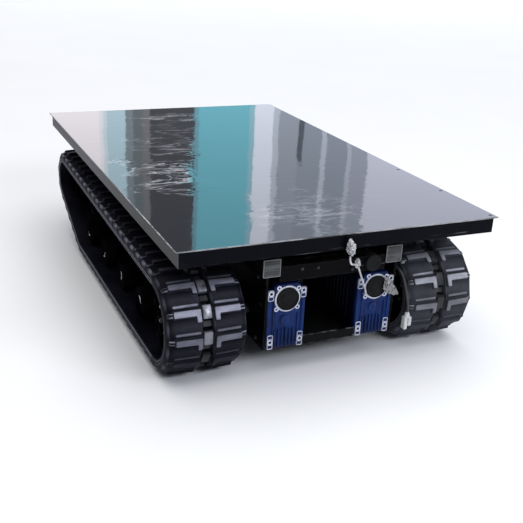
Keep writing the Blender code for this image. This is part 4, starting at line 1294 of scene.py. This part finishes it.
def gearbox_body(bm, x):
    """The cast body: a rounded case, a raised flange at the top, edge ribs, fins and a drain boss."""
    low, high = GEARBOX_LOW, GEARBOX_HIGH
    half = (high.x - low.x) / 2
    front, rear = low.y, high.y
    case = rounded_box((x - half + 0.003, low.z + 0.0005), (x + half - 0.003, high.z - 0.012), 0.008)
    slab(bm, case, "Y", front + 0.005, rear - 0.0005, 0.003)
    head = rounded_box((x - 0.0335, WORM_Z - 0.040), (x + 0.0335, high.z - 0.0005), 0.009)
    slab(bm, head, "Y", front + 0.0005, front + 0.030, 0.0022)
    tunnel = circle((x, WORM_Z), 0.0335, 36)
    slab(bm, tunnel, "Y", front + 0.0012, rear - 0.001, 0.002)
    for side in (-1, 1):
        edge = x + side * (half - 0.0045)
        rib = rectangle((edge - 0.0040, low.z + 0.004), (edge + 0.0040, high.z - 0.018))
        slab(bm, chamfered(rib, 0.002), "Y", front + 0.0020, front + 0.040, 0.0016)
        inner = x + side * (half - 0.0165)
        rib = rectangle((inner - 0.0016, low.z + 0.010), (inner + 0.0016, WORM_Z - 0.034))
        slab(bm, chamfered(rib, 0.001), "Y", front + 0.0022, front + 0.020, 0.0010)
        flank = x + side * half
        for k in range(9):
            y = front + 0.050 + k * 0.0165
            rows = rectangle((y - 0.0018, low.z + 0.012), (y + 0.0018, high.z - 0.030))
            slab(bm, chamfered(rows, 0.001), "X", *sorted((flank, flank - side * 0.006)), 0.0010)
    for k in range(6):
        at = x - 0.0265 + k * 0.0095
        top = low.z + 0.052 - 0.004 * abs(k - 2.5) / 2.5
        fin = rectangle((at - 0.0014, low.z + 0.006), (at + 0.0014, top))
        slab(bm, chamfered(fin, 0.0009), "Y", front + 0.0010, front + 0.014, 0.0009)
    boss = circle((x - 0.002, low.z + 0.072), 0.0115, 28)
    slab(bm, boss, "Y", front + 0.0022, front + 0.014, 0.0016)
    ring(bm, "Y", (x - 0.002, low.z + 0.072), 0.0085, 0.0055, front + 0.004, front + 0.0012, -0.0006, 28)
    for k in range(7):
        y = front + 0.045 + k * 0.021
        lid = rectangle((x - 0.030, y - 0.0020), (x + 0.030, y + 0.0020))
        slab(bm, chamfered(lid, 0.001), "Z", high.z - 0.016, high.z - 0.003, 0.0010)


def machined_faces(bm, x):
    """Bare faces on the casting: the ring round the worm cover with its ears, and the four foot pads."""
    front = GEARBOX_FRONT
    ring(bm, "Y", (x, WORM_Z), 0.0309, 0.0284, front + 0.004, front - 0.0010, -0.0008, 56)
    for turn in (40, 128, 222, 318):
        a = math.radians(turn)
        ear = (x + 0.0352 * math.cos(a), WORM_Z + 0.0352 * math.sin(a))
        ring(bm, "Y", ear, 0.0052, 0.0031, front + 0.004, front - 0.0008, -0.0005, 24)
    for side in (-1, 1):
        for z, holes in ((WORM_Z + 0.0105, 2), (GEARBOX_LOW.z + 0.0200, 3)):
            cx = x + side * (0.0405 if holes == 2 else 0.0375)
            half_h = 0.0125 if holes == 2 else 0.0175
            window = rounded_box((cx - 0.0068, z - half_h), (cx + 0.0068, z + half_h), 0.0022)
            frame_ring(bm, window, 0.0013, front + 0.004, front - 0.0006)
            if holes == 3:
                centres = (z,)
                bars = (z + 0.0072, z - 0.0072)
            else:
                centres = (z + 0.0052,)
                bars = (z - 0.0022,)
            for cz in centres:
                ring(bm, "Y", (cx, cz), 0.0058, 0.0043, front + 0.004, front - 0.0006, -0.0004, 24)
            for cz in bars:
                bar = rectangle((cx - 0.0058, cz - 0.0006), (cx + 0.0058, cz + 0.0006))
                slab(bm, bar, "Y", front - 0.0005, front + 0.004, 0.0004)


def frame_ring(bm, outline, width, back, face):
    """A raised border along an outline, seen from the front."""
    inner = offset(outline, -width)
    edge = (face - back) * 0.12
    section = (
        (back, inner), (back, outline), (face - edge, outline), (face, offset(outline, -abs(edge))),
        (face, offset(inner, abs(edge))), (face - edge, inner), (back, inner),
    )
    loft(bm, [[placed("Y", u, v, at) for u, v in shape] for at, shape in section], 0, False)


def foot_pads(bm, x):
    """The dark bottoms of the pads' pockets, cast with the body."""
    front = GEARBOX_FRONT
    for side in (-1, 1):
        for z, half_h, reach in ((WORM_Z + 0.0105, 0.0122, 0.0405), (GEARBOX_LOW.z + 0.0200, 0.0172, 0.0375)):
            cx = x + side * reach
            pad = rounded_box((cx - 0.0066, z - half_h), (cx + 0.0066, z + half_h), 0.0024)
            slab(bm, pad, "Y", front + 0.0022, front + 0.030, 0.0006)


def worm_cover(bm, x):
    """A round rubber cover, dished, with a raised centre and a fine rim."""
    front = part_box("worm_cap_right")[0].y
    turned(bm, "Y", (x, WORM_Z), [
        (GEARBOX_FRONT + 0.008, 0.0210), (GEARBOX_FRONT + 0.0002, 0.0215), (GEARBOX_FRONT - 0.0002, 0.0274),
        (front + 0.0012, 0.0274), (front + 0.0002, 0.0262), (front + 0.0002, 0.0235),
        (front + 0.0018, 0.0222), (front + 0.0022, 0.0160), (front + 0.0012, 0.0148),
        (front + 0.0010, 0.0060), (front + 0.0016, 0.0020),
    ], 56)


def make_gearboxes():
    for side_name, side in SIDES:
        x = side * GEARBOX_X

        def casting(bm):
            gearbox_body(bm, x)
            foot_pads(bm, x)
        piece(
            f"gearbox_casting_{side_name}", casting, BLUE, "chassis",
            (f"gearbox_housing_{side_name}",), angle=30,
        )
        piece(
            f"gearbox_faces_{side_name}", lambda bm: machined_faces(bm, x), MACHINED, "chassis",
            (), angle=30,
        )
        piece(
            f"worm_cover_{side_name}", lambda bm: worm_cover(bm, x), CAP_BLACK, "chassis",
            (f"worm_cap_{side_name}",), angle=30,
        )


# ---------------------------------------------------------------- hull details

def rail_cap(bm, low, high, end):
    """A pushed-in end cap: a thin flange with a raised edge and shallow ribs across it."""
    face_in, face_out = (high.y, low.y) if end < 0 else (low.y, high.y)
    cx, cz = (low.x + high.x) / 2, (low.z + high.z) / 2
    half = (high.z - low.z) / 2
    flange = face_out - end * 0.0030
    outline = rounded_box((cx - half, cz - half), (cx + half, cz + half), 0.0025)
    near, far = sorted((flange, face_out - end * 0.0008))
    slab(bm, outline, "Y", near, far, 0.0006)
    border = offset(outline, -0.0002)
    inner = offset(outline, -0.0024)
    at, tip = face_out - end * 0.0012, face_out
    loft(bm, [[placed("Y", u, v, y) for u, v in shape] for y, shape in (
        (at, border), (tip, offset(border, -0.0004)), (tip, offset(inner, 0.0004)), (at, inner), (at, border),
    )], 1, False)
    for k in range(6):
        z = cz - half + 0.0065 + k * (2 * half - 0.013) / 5
        rib = rectangle((cx - half + 0.004, z - 0.0014), (cx + half - 0.004, z + 0.0014))
        slab(bm, rib, "Y", *sorted((face_out - end * 0.0012, face_out - end * 0.0002)), 0.0004)
    plug = rectangle((cx - half + 0.0035, cz - half + 0.0035), (cx + half - 0.0035, cz + half - 0.0035))
    slab(bm, plug, "Y", *sorted((face_in, flange)), 0.0005)


def make_caps():
    for side_name, _ in SIDES:
        for end_name, end in ENDS:
            node = f"rail_cap_{end_name}_{side_name}"
            low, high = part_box(node)
            piece(
                f"rail_end_{end_name}_{side_name}", lambda bm: rail_cap(bm, low, high, end),
                [CAP_GREY, CASE], "chassis", (node,), angle=30,
            )


def make_fasteners():
    """Bolts where the tubes and sheets are joined."""
    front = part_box("front_cross_tube")[0].y

    def bolts(bm):
        for x, z in ((-0.0815, 0.2620), (-0.0410, 0.2600), (0.0490, 0.2455), (0.1180, 0.2600)):
            bolt(bm, "Y", (x, z), front, -1, 0.0030)
        low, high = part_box("bolster_front")
        for x in (-0.300, -0.215, 0.215, 0.300):
            bolt(bm, "Y", (x, (low.z + high.z) / 2), low.y, -1, 0.0042)
        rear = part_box("rear_plate")[1]
        for x in (-0.140, -0.070, 0.0, 0.070, 0.140):
            for z in (0.085, 0.236):
                bolt(bm, "Y", (x, z), rear.y, 1, 0.0042)
        for side in (-1, 1):
            plate = side * HULL_PLATE_X
            for y in (-0.560, -0.300, -0.050, 0.300, 0.560):
                for z in (0.085, 0.238):
                    bolt(bm, "X", (y, z), plate, side, 0.0040)
    piece("hull_bolts", bolts, DULL_ZINC, "chassis", ())


def make_slot_shades():
    """A dark bead over each slot between the apron and a gearbox, which it overlaps, put there as painted
    shade so that no light shows through the slot.
    """
    low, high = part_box("front_apron")
    half_w = 0.0040

    def beads(bm):
        for side in (-1, 1):
            x = side * high.x
            bead = rectangle((x - half_w, low.z + 0.0031), (x + half_w, low.z + 0.0062))
            slab(bm, chamfered(bead, 0.0006), "Y", low.y + 0.0035, high.y - 0.001, 0.0005)
    piece("apron_slot_shades", beads, TYRE, "chassis", ())


def make_tank():
    """The small dark round body above the right gearbox, taken for a vent cup."""
    cx, z = 0.100, 0.258

    def cup(bm):
        turned(bm, "Y", (cx, z), [
            (-0.560, 0.0200), (-0.606, 0.0215), (-0.6095, 0.0205),
            (-0.6105, 0.0180), (-0.6095, 0.0120), (-0.6098, 0.0030),
        ], 40)
    piece("vent_cup", cup, CAP_BLACK, "chassis", ())


def make_scraps():
    """Film left on the gearbox and at the hull's front corner."""
    crumpled(
        "gearbox_film", (0.1430, -0.6130, 0.1950), (0.028, 0.014, 0.040), 15, DUSTY_FILM, depth=0.5,
        pull=(((0, 0, 1), (-0.006, 0.0, 0.010)), ((1, 0, -1), (0.008, 0.0, -0.004))),
    )
    crumpled("corner_film", (0.1840, -0.6030, 0.2480), (0.011, 0.008, 0.009), 21, DUSTY_FILM, depth=0.4)


def dress_cad():
    """Finishes for the CAD nodes that stay as they are."""
    finishes = {
        "deck_rim_front": RIM, "deck_rim_rear": RIM, "deck_rim_left": RIM_SIDE, "deck_rim_right": RIM_SIDE,
        "battery_pack": BLACK_CASE, "motor_controller": CASE, "front_apron": APRON,
    }
    for name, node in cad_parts.items():
        finish = finishes.get(name, PAINT)
        if name.startswith(("output_shaft", "worm_shaft", "tension_stud")):
            finish = STEEL
        elif name.startswith("worm_wheel"):
            finish = BRASS
        elif name.startswith(("motor_left", "motor_right")):
            finish = MOTOR_PAINT
        for place in node.material_slots:
            place.material = finish


def main():
    add_camera()
    add_leads()
    add_cards()
    add_studio()
    dress_cad()
    make_deck()
    make_belts()
    make_wheels()
    make_sprockets()
    make_frame_details()
    make_gearboxes()
    make_caps()
    make_fasteners()
    make_slot_shades()
    make_tank()
    make_scraps()


main()
